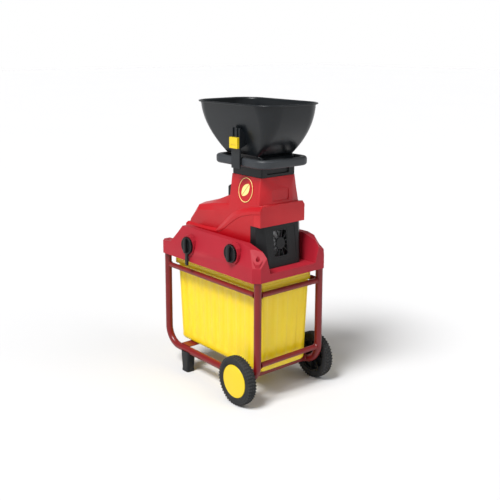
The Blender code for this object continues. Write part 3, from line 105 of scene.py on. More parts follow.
def ranged(tree, value, **limits):
    """A node output mapped from one range to another."""
    made = node_of(tree, "ShaderNodeMapRange", **limits)
    tree.links.new(value, made.inputs["Value"])
    return made.outputs["Result"]


def product(tree, first, second):
    """A node output times a second output or a plain number."""
    made = tree.nodes.new("ShaderNodeMath")
    made.operation = "MULTIPLY"
    tree.links.new(first, made.inputs[0])
    if isinstance(second, float):
        made.inputs[1].default_value = second
    else:
        tree.links.new(second, made.inputs[1])
    return made.outputs["Value"]


def covered(tree, under, amount, tint):
    """A colour output covered with a tint, by a given amount."""
    made = tree.nodes.new("ShaderNodeMix")
    made.data_type = "RGBA"
    made.inputs[MIX_OVER].default_value = (*tint, 1)
    tree.links.new(amount, made.inputs[MIX_FACTOR])
    tree.links.new(under, made.inputs[MIX_UNDER])
    return made.outputs[MIX_OUT]


def finish(
    name,
    color,
    rough,
    metal=0.0,
    blotch=0.10,
    blotch_scale=9.0,
    grain=900.0,
    bump=0.25,
    depth=0.00012,
    stretch=(1, 1, 1),
    wear=0.0,
    wear_color=(0.8, 0.8, 0.8),
    dust=0.0,
    coat=0.0,
    **shader_values,
):
    """A procedural material.

    The colour has blotches, worn edges and dust, and a fine grain drives the roughness and the bump.
    """
    made = bpy.data.materials.new(name)
    made.use_nodes = True
    tree = made.node_tree
    link = tree.links.new
    shader = tree.nodes["Principled BSDF"]
    place = tree.nodes.new("ShaderNodeTexCoord")
    turned = tree.nodes.new("ShaderNodeMapping")
    turned.inputs["Scale"].default_value = stretch
    link(place.outputs["Object"], turned.inputs["Vector"])
    cloud = node_of(tree, "ShaderNodeTexNoise", Scale=blotch_scale, Detail=5.0, Roughness=0.6)
    link(place.outputs["Object"], cloud.inputs["Vector"])
    tone = tree.nodes.new("ShaderNodeValToRGB")
    tone.color_ramp.elements[0].position = 0.32
    tone.color_ramp.elements[1].position = 0.68
    tone.color_ramp.elements[0].color = (*(c * (1 - blotch) for c in color), 1)
    tone.color_ramp.elements[1].color = (*(min(1.0, c * (1 + blotch)) for c in color), 1)
    link(cloud.outputs["Fac"], tone.inputs["Fac"])
    out = tone.outputs["Color"]
    fine = node_of(tree, "ShaderNodeTexNoise", Scale=grain, Detail=3.0, Roughness=0.55)
    link(turned.outputs["Vector"], fine.inputs["Vector"])
    if wear:
        shape = tree.nodes.new("ShaderNodeNewGeometry")
        edge = ranged(tree, shape.outputs["Pointiness"], From_Min=WORN_FROM, From_Max=WORN_TO)
        amount = product(tree, product(tree, edge, cloud.outputs["Fac"]), wear)
        out = covered(tree, out, amount, wear_color)
    if dust:
        facing = tree.nodes.new("ShaderNodeNewGeometry")
        parts = tree.nodes.new("ShaderNodeSeparateXYZ")
        link(facing.outputs["Normal"], parts.inputs["Vector"])
        lying = ranged(tree, parts.outputs["Z"], From_Min=0.4, To_Max=dust)
        speck = node_of(tree, "ShaderNodeTexNoise", Scale=60.0, Detail=6.0)
        link(place.outputs["Object"], speck.inputs["Vector"])
        out = covered(tree, out, product(tree, lying, speck.outputs["Fac"]), DUST_COLOR)
    link(out, shader.inputs["Base Color"])
    low, high = max(0.05, rough - ROUGHNESS_SPREAD), min(1.0, rough + ROUGHNESS_SPREAD)
    link(ranged(tree, fine.outputs["Fac"], To_Min=low, To_Max=high), shader.inputs["Roughness"])
    relief = node_of(tree, "ShaderNodeBump", Strength=bump, Distance=depth)
    link(fine.outputs["Fac"], relief.inputs["Height"])
    link(relief.outputs["Normal"], shader.inputs["Normal"])
    shader.inputs["Metallic"].default_value = metal
    shader.inputs["Coat Weight"].default_value = coat
    shader.inputs["Coat Roughness"].default_value = 0.15
    for key, value in shader_values.items():
        shader.inputs[key.replace("_", " ")].default_value = value
    return made


ENAMEL = finish(
    "frame_enamel", (0.160, 0.005, 0.006), 0.32, blotch=0.10, grain=420, bump=0.12, depth=0.0002, coat=0.10,
    wear=0.25, wear_color=(0.26, 0.04, 0.03), dust=0.02, Specular_IOR_Level=0.35,
)
DECK_RED = finish(
    "deck_red", (0.330, 0.008, 0.020), 0.52, blotch=0.07, grain=1500, bump=0.45, depth=0.00015,
    wear=0.35, wear_color=(0.60, 0.06, 0.07), dust=0.02, Specular_IOR_Level=0.30,
)
SHELL_RED = finish(
    "shell_red", (0.400, 0.0015, 0.007), 0.36, blotch=0.05, grain=1700, bump=0.25, depth=0.0001,
    wear=0.35, wear_color=(0.70, 0.04, 0.04), dust=0.01, coat=0.08, Specular_IOR_Level=0.32,
)
BLACK = finish(
    "black_plastic", (0.0050, 0.0058, 0.0068), 0.40, blotch=0.20, grain=1400, bump=0.40, depth=0.00015,
    wear=0.25, wear_color=(0.035, 0.037, 0.040), dust=0.006, Specular_IOR_Level=0.28,
)
HOPPER_BLACK = finish(
    "hopper_black", (0.0045, 0.0062, 0.0080), 0.30, blotch=0.18, blotch_scale=6, grain=1300, bump=0.35,
    depth=0.00015, wear=0.25, wear_color=(0.04, 0.045, 0.05), dust=0.005, Specular_IOR_Level=0.34,
)
HANDLE_BLACK = finish(
    "handle_black", (0.024, 0.028, 0.033), 0.50, blotch=0.15, grain=1200, bump=0.5, depth=0.0002,
    wear=0.25, wear_color=(0.09, 0.09, 0.10), dust=0.02, Specular_IOR_Level=0.45,
)
BIN_YELLOW = finish(
    "bin_yellow", (0.980, 0.700, 0.008), 0.30, blotch=0.05, blotch_scale=5, grain=700, bump=0.18,
    depth=0.00015, Transmission_Weight=0.16, Subsurface_Weight=0.20,
    Subsurface_Radius=(0.020, 0.012, 0.002), IOR=1.49,
)
YELLOW = finish(
    "hub_yellow", (0.700, 0.500, 0.002), 0.36, blotch=0.05, grain=1100, bump=0.22, depth=0.0001, dust=0.02,
)
RUBBER = finish(
    "tyre_rubber", (0.013, 0.0135, 0.0145), 0.72, blotch=0.25, blotch_scale=30, grain=900, bump=0.6,
    depth=0.0003, wear=0.5, wear_color=(0.06, 0.06, 0.06), dust=0.05, Specular_IOR_Level=0.35,
)
STEEL = finish(
    "turned_steel", (0.56, 0.57, 0.58), 0.30, metal=1.0, blotch=0.08, grain=500, bump=0.25, depth=0.0001,
    stretch=(0.08, 1, 1),
)
BLADE = finish(
    "ground_steel", (0.50, 0.50, 0.50), 0.26, metal=1.0, blotch=0.14, blotch_scale=40, grain=700, bump=0.3,
    depth=0.0001, stretch=(1, 0.08, 1),
)
CAST = finish(
    "cast_alloy", (0.60, 0.61, 0.62), 0.50, metal=1.0, blotch=0.12, blotch_scale=25, grain=450, bump=0.8,
    depth=0.0004,
)
GREEN = finish("button_green", (0.020, 0.300, 0.060), 0.35, blotch=0.06, grain=1500, bump=0.2, depth=0.0001)
RED = finish("button_red", (0.560, 0.012, 0.012), 0.35, blotch=0.06, grain=1500, bump=0.2, depth=0.0001)
CREAM = finish("badge_cream", (0.860, 0.700, 0.250), 0.40, blotch=0.05, grain=1500, bump=0.15, depth=0.0001)

SLOT_LOOK = {
    "frame_paint": ENAMEL,
    "deck_plastic": DECK_RED,
    "shell_plastic": SHELL_RED,
    "black_plastic": BLACK,
    "bin_plastic": BIN_YELLOW,
    "yellow_plastic": YELLOW,
    "tyre_black": RUBBER,
    "steel": STEEL,
    "alloy": CAST,
    "green_button": GREEN,
    "red_button": RED,
}
SLOT_OF = {part["node"]: part["material_slot"] for part in frame["record"]["subparts"]}
BODY_OF = {node: obj["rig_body"] for node, obj in frame["nodes"].items()}
for node, obj in frame["nodes"].items():
    look = BLADE if node in ("cutting_drum", "anvil_plate") else SLOT_LOOK[SLOT_OF[node]]
    obj.data.materials.clear()
    obj.data.materials.append(look)

# ---- Shells --------------------------------------------------------------------------------------

SAME_POINT = 2e-5
FLAT_WITHIN = math.radians(1.5)
EDGE_ANGLE = 24.0  # edges over this angle are rounded


def loft(rings, closed=False):
    """Points and faces through rings of equal count, capped at both ends or closed into a loop."""
    points = [tuple(p) for ring in rings for p in ring]
    count = len(rings[0])
    faces = []
    rows = len(rings)
    for r in range(rows if closed else rows - 1):
        a, b = r * count, ((r + 1) % rows) * count
        for i in range(count):
            k = (i + 1) % count
            faces.append((a + i, a + k, b + k, b + i))
    if not closed:
        faces.append(tuple(range(count))[::-1])
        faces.append(tuple(range((rows - 1) * count, rows * count)))
    return points, faces


def put(axis, along, across):
    """A point from its place along an axis and its other two coordinates."""
    point = list(across)
    point.insert("XYZ".index(axis), along)
    return tuple(point)


def ring_of(centre, radius, count):
    """The points of a circle."""
    steps = (TAU * i / count for i in range(count))
    return [(centre[0] + radius * math.cos(a), centre[1] + radius * math.sin(a)) for a in steps]


def quarter(steps):
    """The angles of a quarter turn, both ends included."""
    return [math.pi / 2 * i / steps for i in range(steps + 1)]


def lathe(profile, axis, centre, count, loop=False):
    """A turned shell from (radius, height) pairs. A loop is a closed profile clear of the axis."""
    rings = [[put(axis, h, p) for p in ring_of(centre, r, count)] for r, h in profile]
    return loft(rings, closed=loop)


def prism(outline, axis, low, high):
    """A straight bar of any outline along an axis."""
    return loft([[put(axis, along, p) for p in outline] for along in (low, high)])


def block_outline(x0, x1, y0, y1):
    return (x0, y0), (x1, y0), (x1, y1), (x0, y1)


def block(low, high):
    return prism(block_outline(low[0], high[0], low[1], high[1]), "Z", low[2], high[2])


def arc(centre, radius, start, end, steps):
    """The points of an arc between two angles in degrees."""
    angles = (math.radians(start + (end - start) * i / steps) for i in range(steps + 1))
    return [(centre[0] + radius * math.cos(a), centre[1] + radius * math.sin(a)) for a in angles]


def rounded(x0, x1, y0, y1, radius, steps=8):
    """A rectangle's outline with round corners."""
    corners = (
        ((x1 - radius, y1 - radius), 0),
        ((x0 + radius, y1 - radius), 90),
        ((x0 + radius, y0 + radius), 180),
        ((x1 - radius, y0 + radius), 270),
    )
    return [p for centre, start in corners for p in arc(centre, radius, start, start + 90, steps)]


def shrunk(outline, grow):
    """An outline moved out along its own normals, or in where grow is negative."""
    moved = []
    for i, (x, y) in enumerate(outline):
        before, after = outline[i - 1], outline[(i + 1) % len(outline)]
        dx, dy = after[0] - before[0], after[1] - before[1]
        size = math.hypot(dx, dy) or 1.0
        moved.append((x + grow * dy / size, y - grow * dx / size))
    return moved


def level(outline, z):
    """A flat outline as points at one height."""
    return [(x, y, z) for x, y in outline]


def soft_slab(outline, axis, low, high, edge, steps=3):
    """A prism whose rims are rounded over."""
    stations = [(low + edge * (1 - math.cos(a)), edge * (1 - math.sin(a))) for a in quarter(steps)]
    stations += [(high - edge + edge * math.sin(a), edge * (1 - math.cos(a))) for a in quarter(steps)]
    return loft([[put(axis, along, p) for p in shrunk(outline, -inset)] for along, inset in stations])


def mirrored(shell):
    """A shell on the other side of the middle plane y = 0."""
    points, faces = shell
    return [(x, -y, z) for x, y, z in points], faces


def sweep(path, radius, count=28, across=Vector((0, 1, 0))):
    """A round bar along a path in the plane square to across."""
    rings = []
    for i, point in enumerate(path):
        ahead = path[min(i + 1, len(path) - 1)] - path[max(i - 1, 0)]
        side = ahead.normalized().cross(across)
        rings.append([point + (side * c + across * s) * radius for c, s in ring_of((0, 0), 1.0, count)])
    return loft(rings)


def applied(obj):
    """Bakes an object's modifiers into its mesh."""
    view = bpy.context.evaluated_depsgraph_get()
    mesh = bpy.data.meshes.new_from_object(obj.evaluated_get(view))
    obj.modifiers.clear()
    obj.data = mesh


def dress(name, mesh, body, nodes, sharp=35.0, bevel=0.0, segments=2, bevel_angle=30.0):
    """One visible piece from a mesh: with its edges rounded, or with sharp edges over a given angle."""
    obj = bpy.data.objects.new(name, mesh)
    bpy.context.scene.collection.objects.link(obj)
    mesh.shade_smooth()
    if bevel:
        rounding = obj.modifiers.new("rounding", "BEVEL")
        rounding.width = bevel
        rounding.segments = segments
        rounding.limit_method = "ANGLE"
        rounding.angle_limit = math.radians(bevel_angle)
        rounding.harden_normals = True
        weighted = obj.modifiers.new("weighted", "WEIGHTED_NORMAL")
        weighted.keep_sharp = True
        applied(obj)
    else:
        obj.data.set_sharp_from_angle(angle=math.radians(sharp))
    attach(obj, body)
    if nodes:
        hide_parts(*nodes)


def solid(name, shells, body, slot, look, nodes=(), sharp=35.0):
    """One visible piece from one or more shells."""
    bm = bmesh.new()
    for points, faces in shells:
        made = [bm.verts.new(p) for p in points]
        for face in faces:
            bm.faces.new([made[i] for i in face])
    bmesh.ops.recalc_face_normals(bm, faces=bm.faces)
    mesh = bpy.data.meshes.new(name)
    bm.to_mesh(mesh)
    bm.free()
    mesh.materials.append(look)
    dress(name, mesh, body, nodes, sharp)


def softened(node, width, segments=2):
    """A copy of a CAD node with its flat faces made whole, and its edges rounded by a bevel of a width."""
    bm = bmesh.new()
    bm.from_mesh(frame["nodes"][node].data)
    bmesh.ops.remove_doubles(bm, verts=bm.verts, dist=SAME_POINT)
    bmesh.ops.dissolve_limit(
        bm, angle_limit=FLAT_WITHIN, verts=bm.verts, edges=bm.edges, use_dissolve_boundaries=False
    )
    bmesh.ops.recalc_face_normals(bm, faces=bm.faces)
    mesh = bpy.data.meshes.new(node + "_look")
    bm.to_mesh(mesh)
    bm.free()
    mesh.materials.append(SLOT_LOOK[SLOT_OF[node]])
    slot, body = SLOT_OF[node], BODY_OF[node]
    dress(node + "_look", mesh, body, (node,), bevel=width, segments=segments, bevel_angle=EDGE_ANGLE)


def stand_in(node, shells, look=None, **options):
    """A detailed piece that stands for one CAD node, on its body, with its slot's material unless a look is
    given.
    """
    slot = SLOT_OF[node]
    solid(node + "_look", shells, BODY_OF[node], slot, look or SLOT_LOOK[slot], (node,), **options)


# ---- Frame ---------------------------------------------------------------------------------------


def tube_frame():
    """The two bent side tubes, the straight tubes welded between them, and the flat plate at the rear."""
    for side, sign in (("left", -1), ("right", 1)):
        y = sign * LEG_Y
        rear = arc((MID - LEG_X + BEND_R, BASE_Z + BEND_R), BEND_R, 180, 270, 14)
        front = arc((MID + LEG_X - BEND_R, BASE_Z + BEND_R), BEND_R, 270, 360, 14)
        flat = [(MID - LEG_X, LEG_TOP), *rear, *front, (MID + LEG_X, LEG_TOP)]
        path = [Vector((x, y, z)) for x, z in flat]
        stand_in("side_tube_" + side, [sweep(path, TUBE_R, 32)])
        low, high, mid = span("upper_rail_" + side)
        radius = (high.z - low.z) / 2
        shells = [sweep([Vector((low.x, y, mid.z)), Vector((high.x, y, mid.z))], radius)]
        shells += welds("X", low.x, high.x, (y, mid.z), radius)
        stand_in("upper_rail_" + side, shells)
    for node in ("upper_rail_front", "lower_crossbar_front", "axle_tube"):
        low, high, mid = span(node)
        radius = (high.z - low.z) / 2
        ends = [Vector((mid.x, low.y, mid.z)), Vector((mid.x, high.y, mid.z))]
        shells = [sweep(ends, radius, across=Vector((0, 0, 1)))]
        shells += welds("Y", low.y, high.y, (mid.x, mid.z), radius)
        stand_in(node, shells)
    softened("rear_cross_plate", 0.0010)


WELD_REACH = 0.0030
WELD_LUMPS, WELD_LUMP = 11, 0.0006


def welds(axis, low, high, centre, radius):
    """The beads round both ends of a tube along an axis."""
    return [weld(axis, low, centre, radius, 1), weld(axis, high, centre, radius, -1)]


def weld(axis, end, centre, radius, inward):
    """The bead round a tube's end: a lumpy fillet."""
    count = 48
    rings = []
    for i in range(count):
        a = TAU * i / count
        lump = WELD_LUMP * (0.5 + 0.5 * math.sin(a * WELD_LUMPS))
        reach = WELD_REACH + lump
        profile = (
            (radius - 0.0008, 0.0002),
            (radius + 0.0022 + lump, 0.0002),
            (radius + 0.0014 + lump * 0.5, reach * 0.55),
            (radius - 0.0002, reach),
            (radius - 0.0012, reach * 0.6),
        )
        ring = []
        for r, h in profile:
            across = (centre[0] + r * math.cos(a), centre[1] + r * math.sin(a))
            ring.append(put(axis, end + inward * h, across))
        rings.append(ring)
    return loft(rings, closed=True)


# ---- Wheels --------------------------------------------------------------------------------------


BLOCKS = 46  # tread blocks round the tyre, in each row
BLOCK_TAPER = 0.16
HUB_R, BORE_R = 0.0160, 0.0068
SPOKES, SPOKE_HALF = 8, 0.0014


def tread_block(place, start, sweep_angle, low, high, r0, r1, skew):
    """A small block on the tyre, narrower at its top, between two angles and two shares of the width."""
    centre, inn, out, sign = place
    points = []
    for r, shrink in ((r0, 0.0), (r1, BLOCK_TAPER)):
        for u, v in ((0, 0), (1, 0), (1, 1), (0, 1)):
            uu = shrink + u * (1 - 2 * shrink)
            vv = shrink + v * (1 - 2 * shrink)
            share = low + (high - low) * vv
            a = start + sweep_angle * uu + skew * share
            y = sign * (inn + (out - inn) * share)
            points.append((centre[0] + r * math.cos(a), y, centre[1] + r * math.sin(a)))
    faces = [(0, 1, 2, 3), (4, 5, 6, 7), (0, 1, 5, 4), (1, 2, 6, 5), (2, 3, 7, 6), (3, 0, 4, 7)]
    return points, faces


def wheel(side, sign):
    """Tyre, rim and cap. A profile's second value is a share of the tyre's width, from its inner side."""
    low, high, mid = span("tyre_" + side)
    rim_low, rim_high, _ = span("wheel_rim_" + side)
    centre = (mid.x, mid.z)
    inn, out = sorted((abs(low.y), abs(high.y)))
    rim_r = (rim_high.x - rim_low.x) / 2
    tyre(side, (centre, inn, out, sign), (high.x - low.x) / 2, rim_r + GAP)
    rim(side, (centre, inn, out, sign), rim_r)
    hub_cap(side, sign, centre)


def turned(profile, place, count):
    """A closed profile turned round the axle.

    Place is the axle's centre, the tyre's inner and outer side, and the sign of y.
    """
    centre, inn, out, sign = place
    return lathe([(r, sign * (inn + (out - inn) * t)) for r, t in profile], "Y", centre, count, loop=True)


def tyre(side, place, radius, bead):
    """A round-shouldered tyre: a middle row of blocks, two slanted rows, and blocks on both shoulders."""
    profile = [
        (bead, 0.10),
        (bead + 0.0016, 0.045),
        (bead + 0.0050, 0.020),
        (bead + 0.0054, 0.034),
        (bead + 0.0062, 0.034),
        (bead + 0.0066, 0.012),
        (radius - 0.0130, 0.004),
        (radius - 0.0076, 0.030),
        (radius - 0.0048, 0.085),
        (radius - 0.0030, 0.20),
        (radius - 0.0024, 0.35),
        (radius - 0.0022, 0.50),
    ]
    profile += [(r, 1 - t) for r, t in profile[-2::-1]]
    shells = [turned(profile, place, 120)]
    step = TAU / BLOCKS
    top = radius - 0.0001
    for i in range(BLOCKS):
        a = step * i
        shells.append(tread_block(place, a, step * 0.62, 0.40, 0.60, radius - 0.0030, top, 0.0))
        for low, high, skew in ((0.17, 0.36, 0.10), (0.64, 0.83, -0.10)):
            foot, head = radius - 0.0038, top - 0.0004
            shells.append(tread_block(place, a + step * 0.5, step * 0.62, low, high, foot, head, skew))
        for low, high in ((0.035, 0.13), (0.87, 0.965)):
            shells.append(tread_block(place, a, step * 0.55, low, high, radius - 0.0090, top - 0.0022, 0.0))
    stand_in("tyre_" + side, shells)


def rim(side, place, rim_r):
    """A moulded rim with a hub and spokes on its inner side."""
    centre, inn, out, sign = place
    profile = [
        (rim_r - 0.0006, 0.18),
        (rim_r, 0.20),
        (rim_r, 0.80),
        (rim_r - 0.0006, 0.82),
        (rim_r - 0.0040, 0.82),
        (rim_r - 0.0050, 0.79),
        (rim_r - 0.0050, 0.60),
        (rim_r - 0.0070, 0.57),
        (0.0190, 0.57),
        (0.0165, 0.60),
        (HUB_R, 0.66),
        (BORE_R, 0.66),
        (BORE_R, 0.03),
        (0.0150, 0.03),
        (HUB_R, 0.06),
        (0.0175, 0.44),
        (0.0200, 0.47),
        (rim_r - 0.0080, 0.47),
        (rim_r - 0.0056, 0.44),
        (rim_r - 0.0044, 0.19),
    ]
    shells = [turned(profile, place, 72)]
    spoke = block_outline(0.0150, rim_r - 0.0046, -SPOKE_HALF, SPOKE_HALF)
    ends = sorted(sign * (inn + (out - inn) * share) for share in (0.16, 0.50))
    for i in range(SPOKES):
        a = TAU * i / SPOKES
        c, s = math.cos(a), math.sin(a)
        outline = [(centre[0] + r * c - t * s, centre[1] + r * s + t * c) for r, t in spoke]
        shells.append(prism(outline, "Y", *ends))
    stand_in("wheel_rim_" + side, shells)


def hub_cap(side, sign, centre):
    """A plain disc, slightly domed, with a rounded edge and a fine groove inside it."""
    low, high, _ = span("hub_cap_" + side)
    cap_r = (high.x - low.x) / 2
    near, far = sorted((abs(low.y), abs(high.y)))
    face = [(cap_r - 0.0034, near), (cap_r - 0.0008, near + 0.0006), (cap_r, near + 0.0016)]
    for a in quarter(4):
        rise = (far - near - 0.0020) * 0.8 * math.sin(a)
        face.append((cap_r - 0.0022 * (1 - math.cos(a)), near + 0.0016 + rise))
    edge_h = face[-1][1]
    groove_r, groove_h = cap_r - 0.0052, edge_h - 0.0007
    face += [(cap_r - 0.0034, edge_h), (cap_r - 0.0042, groove_h), (groove_r, groove_h)]
    for i in range(1, 9):
        share = i / 8
        r = groove_r * math.cos(math.pi / 2 * share * 0.995)
        face.append((r, groove_h + (far - groove_h) * share**0.8))
    stand_in("hub_cap_" + side, [lathe([(r, sign * h) for r, h in face], "Y", centre, 96)])


# ---- Bin -----------------------------------------------------------------------------------------


BIN_WALL = 0.0024
FLUTES = (9, 4)  # on each long side and each end
FLUTE_DEPTH = 0.0024


def bin_outline(x0, x1, half_y, radius, depth=0.0):
    """The bin's outline: round corners, and flutes pressed into its sides to a given depth."""
    points = []
    long_run, end_run = x1 - x0 - 2 * radius, 2 * (half_y - radius)
    spans = (
        ((x1 - radius, half_y - radius), 0, (-1, 0), (0, -1), long_run, FLUTES[0]),
        ((x0 + radius, half_y - radius), 90, (0, -1), (1, 0), end_run, FLUTES[1]),
        ((x0 + radius, -half_y + radius), 180, (1, 0), (0, 1), long_run, FLUTES[0]),
        ((x1 - radius, -half_y + radius), 270, (0, 1), (-1, 0), end_run, FLUTES[1]),
    )
    for centre, start, ahead, inward, run, count in spans:
        corner = arc(centre, radius, start, start + 90, 8)
        points += corner
        steps = count * 12
        for k in range(1, steps):
            share = k / steps
            phase = (share * count) % 1.0
            rise = min(1.0, max(0.0, (0.5 - abs(phase - 0.5)) * 6 - 0.9))
            rise = rise * rise * (3 - 2 * rise)
            x = corner[-1][0] + ahead[0] * run * share + inward[0] * depth * rise
            y = corner[-1][1] + ahead[1] * run * share + inward[1] * depth * rise
            points.append((x, y))
    return points


def catching_bin():
    """A thin-walled tub with fluted sides, a round lower edge and a deep stepped rim."""
    low, high, _ = span("bin")
    body_y = 0.1145
    x0, x1 = MID - 0.2310, MID + 0.2340
    rim_low = high.z - 0.036
    taper = 0.008

    # height, inset from the outline under the rim, flute depth
    rows = []
    for a in quarter(6):
        rows.append((low.z + 0.014 * (1 - math.cos(a)), taper + 0.012 * (1 - math.sin(a)), 0.0))
    bottom = len(rows)
    rows += [
        (low.z + 0.028, taper, 0.0),
        (low.z + 0.034, taper - 0.0004, 0.0016),
        (low.z + 0.040, taper - 0.0006, FLUTE_DEPTH),
        (rim_low - 0.030, 0.0006, FLUTE_DEPTH),
        (rim_low - 0.024, 0.0003, 0.0016),
        (rim_low - 0.018, 0.0, 0.0),
        (rim_low - 0.003, 0.0, 0.0),
    ]
    outer = [level(bin_outline(x0 + t, x1 - t, body_y - t, 0.022, depth), z) for z, t, depth in rows]
    inner = []
    for i, (z, t, depth) in enumerate(rows):
        outline = bin_outline(x0 + t + BIN_WALL, x1 - t - BIN_WALL, body_y - t - BIN_WALL, 0.0205, depth)
        inner.append(level(outline, z + (BIN_WALL if i < bottom else 0)))

    def rim_ring(grow, radius, z):
        return level(bin_outline(low.x - grow, high.x + grow, high.y + grow, radius), z)

    # height over the rim's lower edge, growth past the rim's outline
    rim_steps = (
        (0.0, -0.0012),
        (0.0012, 0.0),
        (0.0150, 0.0),
        (0.0160, -0.0010),
        (0.0180, -0.0010),
        (0.0190, 0.0),
        (0.0345, 0.0),
        (0.0358, -0.0008),
    )
    outer += [rim_ring(grow, 0.024, rim_low + h) for h, grow in rim_steps]
    outer.append(rim_ring(-0.0016, 0.024, high.z))
    inside = [
        rim_ring(-BIN_WALL, 0.0225, high.z - 0.0006),
        rim_ring(-BIN_WALL, 0.0225, rim_low + BIN_WALL + 0.001),
        level(bin_outline(x0 + BIN_WALL, x1 - BIN_WALL, body_y - BIN_WALL, 0.0205), rim_low + BIN_WALL),
    ]
    stand_in("bin", [loft(outer + inside + inner[::-1])], sharp=42)


# ---- Deck, knobs and screws ----------------------------------------------------------------------


KNOB_FLUTES, KNOB_FLUTE_DEPTH = 24, 0.0011
GRIP_HALF_WIDTH, GRIP_HALF_LENGTH, GRIP_WAIST = 0.0070, 0.0262, 0.0022


def knob(node, tail):
    """A round hand knob: fluted edge, sunk face, a waisted grip bar and, on the bin's knob, a tail."""
    low, high, mid = span(node)
    face = low.y
    radius = (high.x - low.x) / 2
    centre = (mid.x, high.z - radius)
    plate = face + 0.0086  # front of the disc behind the grip bar
    count = 96
    stations = (
        (plate + 0.0100, 0.92),
        (plate + 0.0012, 1.0),
        (plate + 0.0004, 0.985),
        (plate, 0.955),
        (plate, 0.86),
        (plate + 0.0014, 0.83),
        (plate + 0.0014, 0.30),
        (plate + 0.0004, 0.26),
        (plate + 0.0004, 0.001),
    )
    rings = []
    for along, share in stations:
        ring = []
        for i in range(count):
            a = TAU * i / count
            flute = KNOB_FLUTE_DEPTH * (0.5 + 0.5 * math.cos(a * KNOB_FLUTES)) ** 3
            r = (radius - flute if share > 0.9 else radius) * share
            ring.append((centre[0] + r * math.cos(a), along, centre[1] + r * math.sin(a)))
        rings.append(ring)
    bar = []
    for x, z in rounded(-GRIP_HALF_WIDTH, GRIP_HALF_WIDTH, -GRIP_HALF_LENGTH, GRIP_HALF_LENGTH, 0.0066, 6):
        waist = GRIP_WAIST * math.cos(z / GRIP_HALF_LENGTH * math.pi / 2) ** 2
        bar.append((centre[0] + x - math.copysign(waist, x), centre[1] + z))
    shells = [loft(rings), mirrored(soft_slab(bar, "Y", -(plate + 0.004), -face, 0.0022))]
    if tail:
        outline = [
            (centre[0] - 0.0070, low.z + 0.004),
            (centre[0] - 0.0045, low.z),
            (centre[0] + 0.0045, low.z),
            (centre[0] + 0.0070, low.z + 0.004),
            (centre[0] + 0.0064, centre[1] - 0.020),
            (centre[0] - 0.0064, centre[1] - 0.020),
        ]
        shells.append(mirrored(soft_slab(outline, "Y", -(plate + 0.0058), -plate + 0.0002, 0.0012)))
    stand_in(node, shells, sharp=38)


SCREW_SHANK_R = 0.0025


def deck_screw(node):
    """A cap screw with a hexagon socket."""
    low, high, mid = span(node)
    centre = (mid.x, mid.y)
    radius = (high.x - low.x) / 2
    head = high.z - 0.0042
    turned_part = (
        (SCREW_SHANK_R, low.z),
        (SCREW_SHANK_R, head),
        (radius - 0.0004, head),
        (radius, head + 0.0005),
        (radius - 0.0002, head + 0.0022),
        (radius - 0.0012, head + 0.0034),
        (radius - 0.0028, high.z),
    )
    socket = ((0.0027, high.z), (0.0025, high.z - 0.0002), (0.0025, high.z - 0.0021))
    rings = [level(ring_of(centre, r, 24), h) for r, h in turned_part]
    rings += [[(centre[0] + x, centre[1] + y, h) for x, y in hexagon(r, 24)] for r, h in socket]
    stand_in(node, [loft(rings)])


def hexagon(across, count):
    """A hexagon's outline in a given number of points."""
    points = []
    for i in range(count):
        a = TAU * i / count
        local = (a % (TAU / 6)) - TAU / 12
        r = across * math.cos(TAU / 12) / math.cos(local)
        points.append((r * math.cos(a), r * math.sin(a)))
    return points


# ---- Housing -------------------------------------------------------------------------------------


def eased(points, steps=6):
    """A smooth curve through a list of points, with a given number of steps between neighbours."""
    ends = [points[0], *points, points[-1]]
    made = []
    for corners in zip(ends, ends[1:], ends[2:], ends[3:]):
        for i in range(steps):
            t = i / steps
            made.append(tuple(between(*values, t) for values in zip(*corners)))
    made.append(tuple(points[-1]))
    return made


def between(p, q, r, w, t):
    """The smooth value a share t of the way from q to r, with p before them and w after."""
    square, cube = 2 * p - 5 * q + 4 * r - w, 3 * q - p - 3 * r + w
    return 0.5 * (2 * q + (r - p) * t + square * t * t + cube * t**3)


def side_band():
    """The sloping band along both sides of the housing: a raised moulding with a soft upper edge."""
    front = 0.2140
    # each edge as (x from the middle of the legs, z)
    lower = [(front, 0.630), (0.165, 0.622), (0.114, 0.607), (0.072, 0.583), (0.018, 0.545)]
    lower.append((-0.012, 0.5365))
    upper = [(front, 0.655), (0.155, 0.645), (0.100, 0.629), (0.056, 0.607), (0.002, 0.563)]
    upper.append((-0.022, 0.5430))
    # share of the way from the lower edge to the upper one, distance from the middle plane
    section = (
        (0.00, 0.0880),
        (0.00, 0.0988),
        (0.06, 0.0998),
        (0.38, 0.0998),
        (0.50, 0.0990),
        (0.92, 0.0912),
        (1.00, 0.0900),
        (1.00, 0.0880),
    )
    shells = []
    for sign in (-1, 1):
        rings = []
        for (x0, z0), (x1, z1) in zip(eased(lower), eased(upper)):
            ring = []
            for share, y in section:
                ring.append((MID + x0 + (x1 - x0) * share, sign * y, z0 + (z1 - z0) * share))
            rings.append(ring)
        shells.append(loft(rings))
    solid("side_band", shells, "frame", "shell_plastic", SHELL_RED, sharp=30)


BADGE_X, BADGE_Z = 0.122, 0.697
BADGE_HALF_WIDTH, BADGE_HALF_HEIGHT = 0.0360, 0.0420
LEAF_LENGTH, LEAF_WIDTH, LEAF_VEIN = 0.052, 0.0150, 0.0012
LEAF_TURN = math.radians(-38)


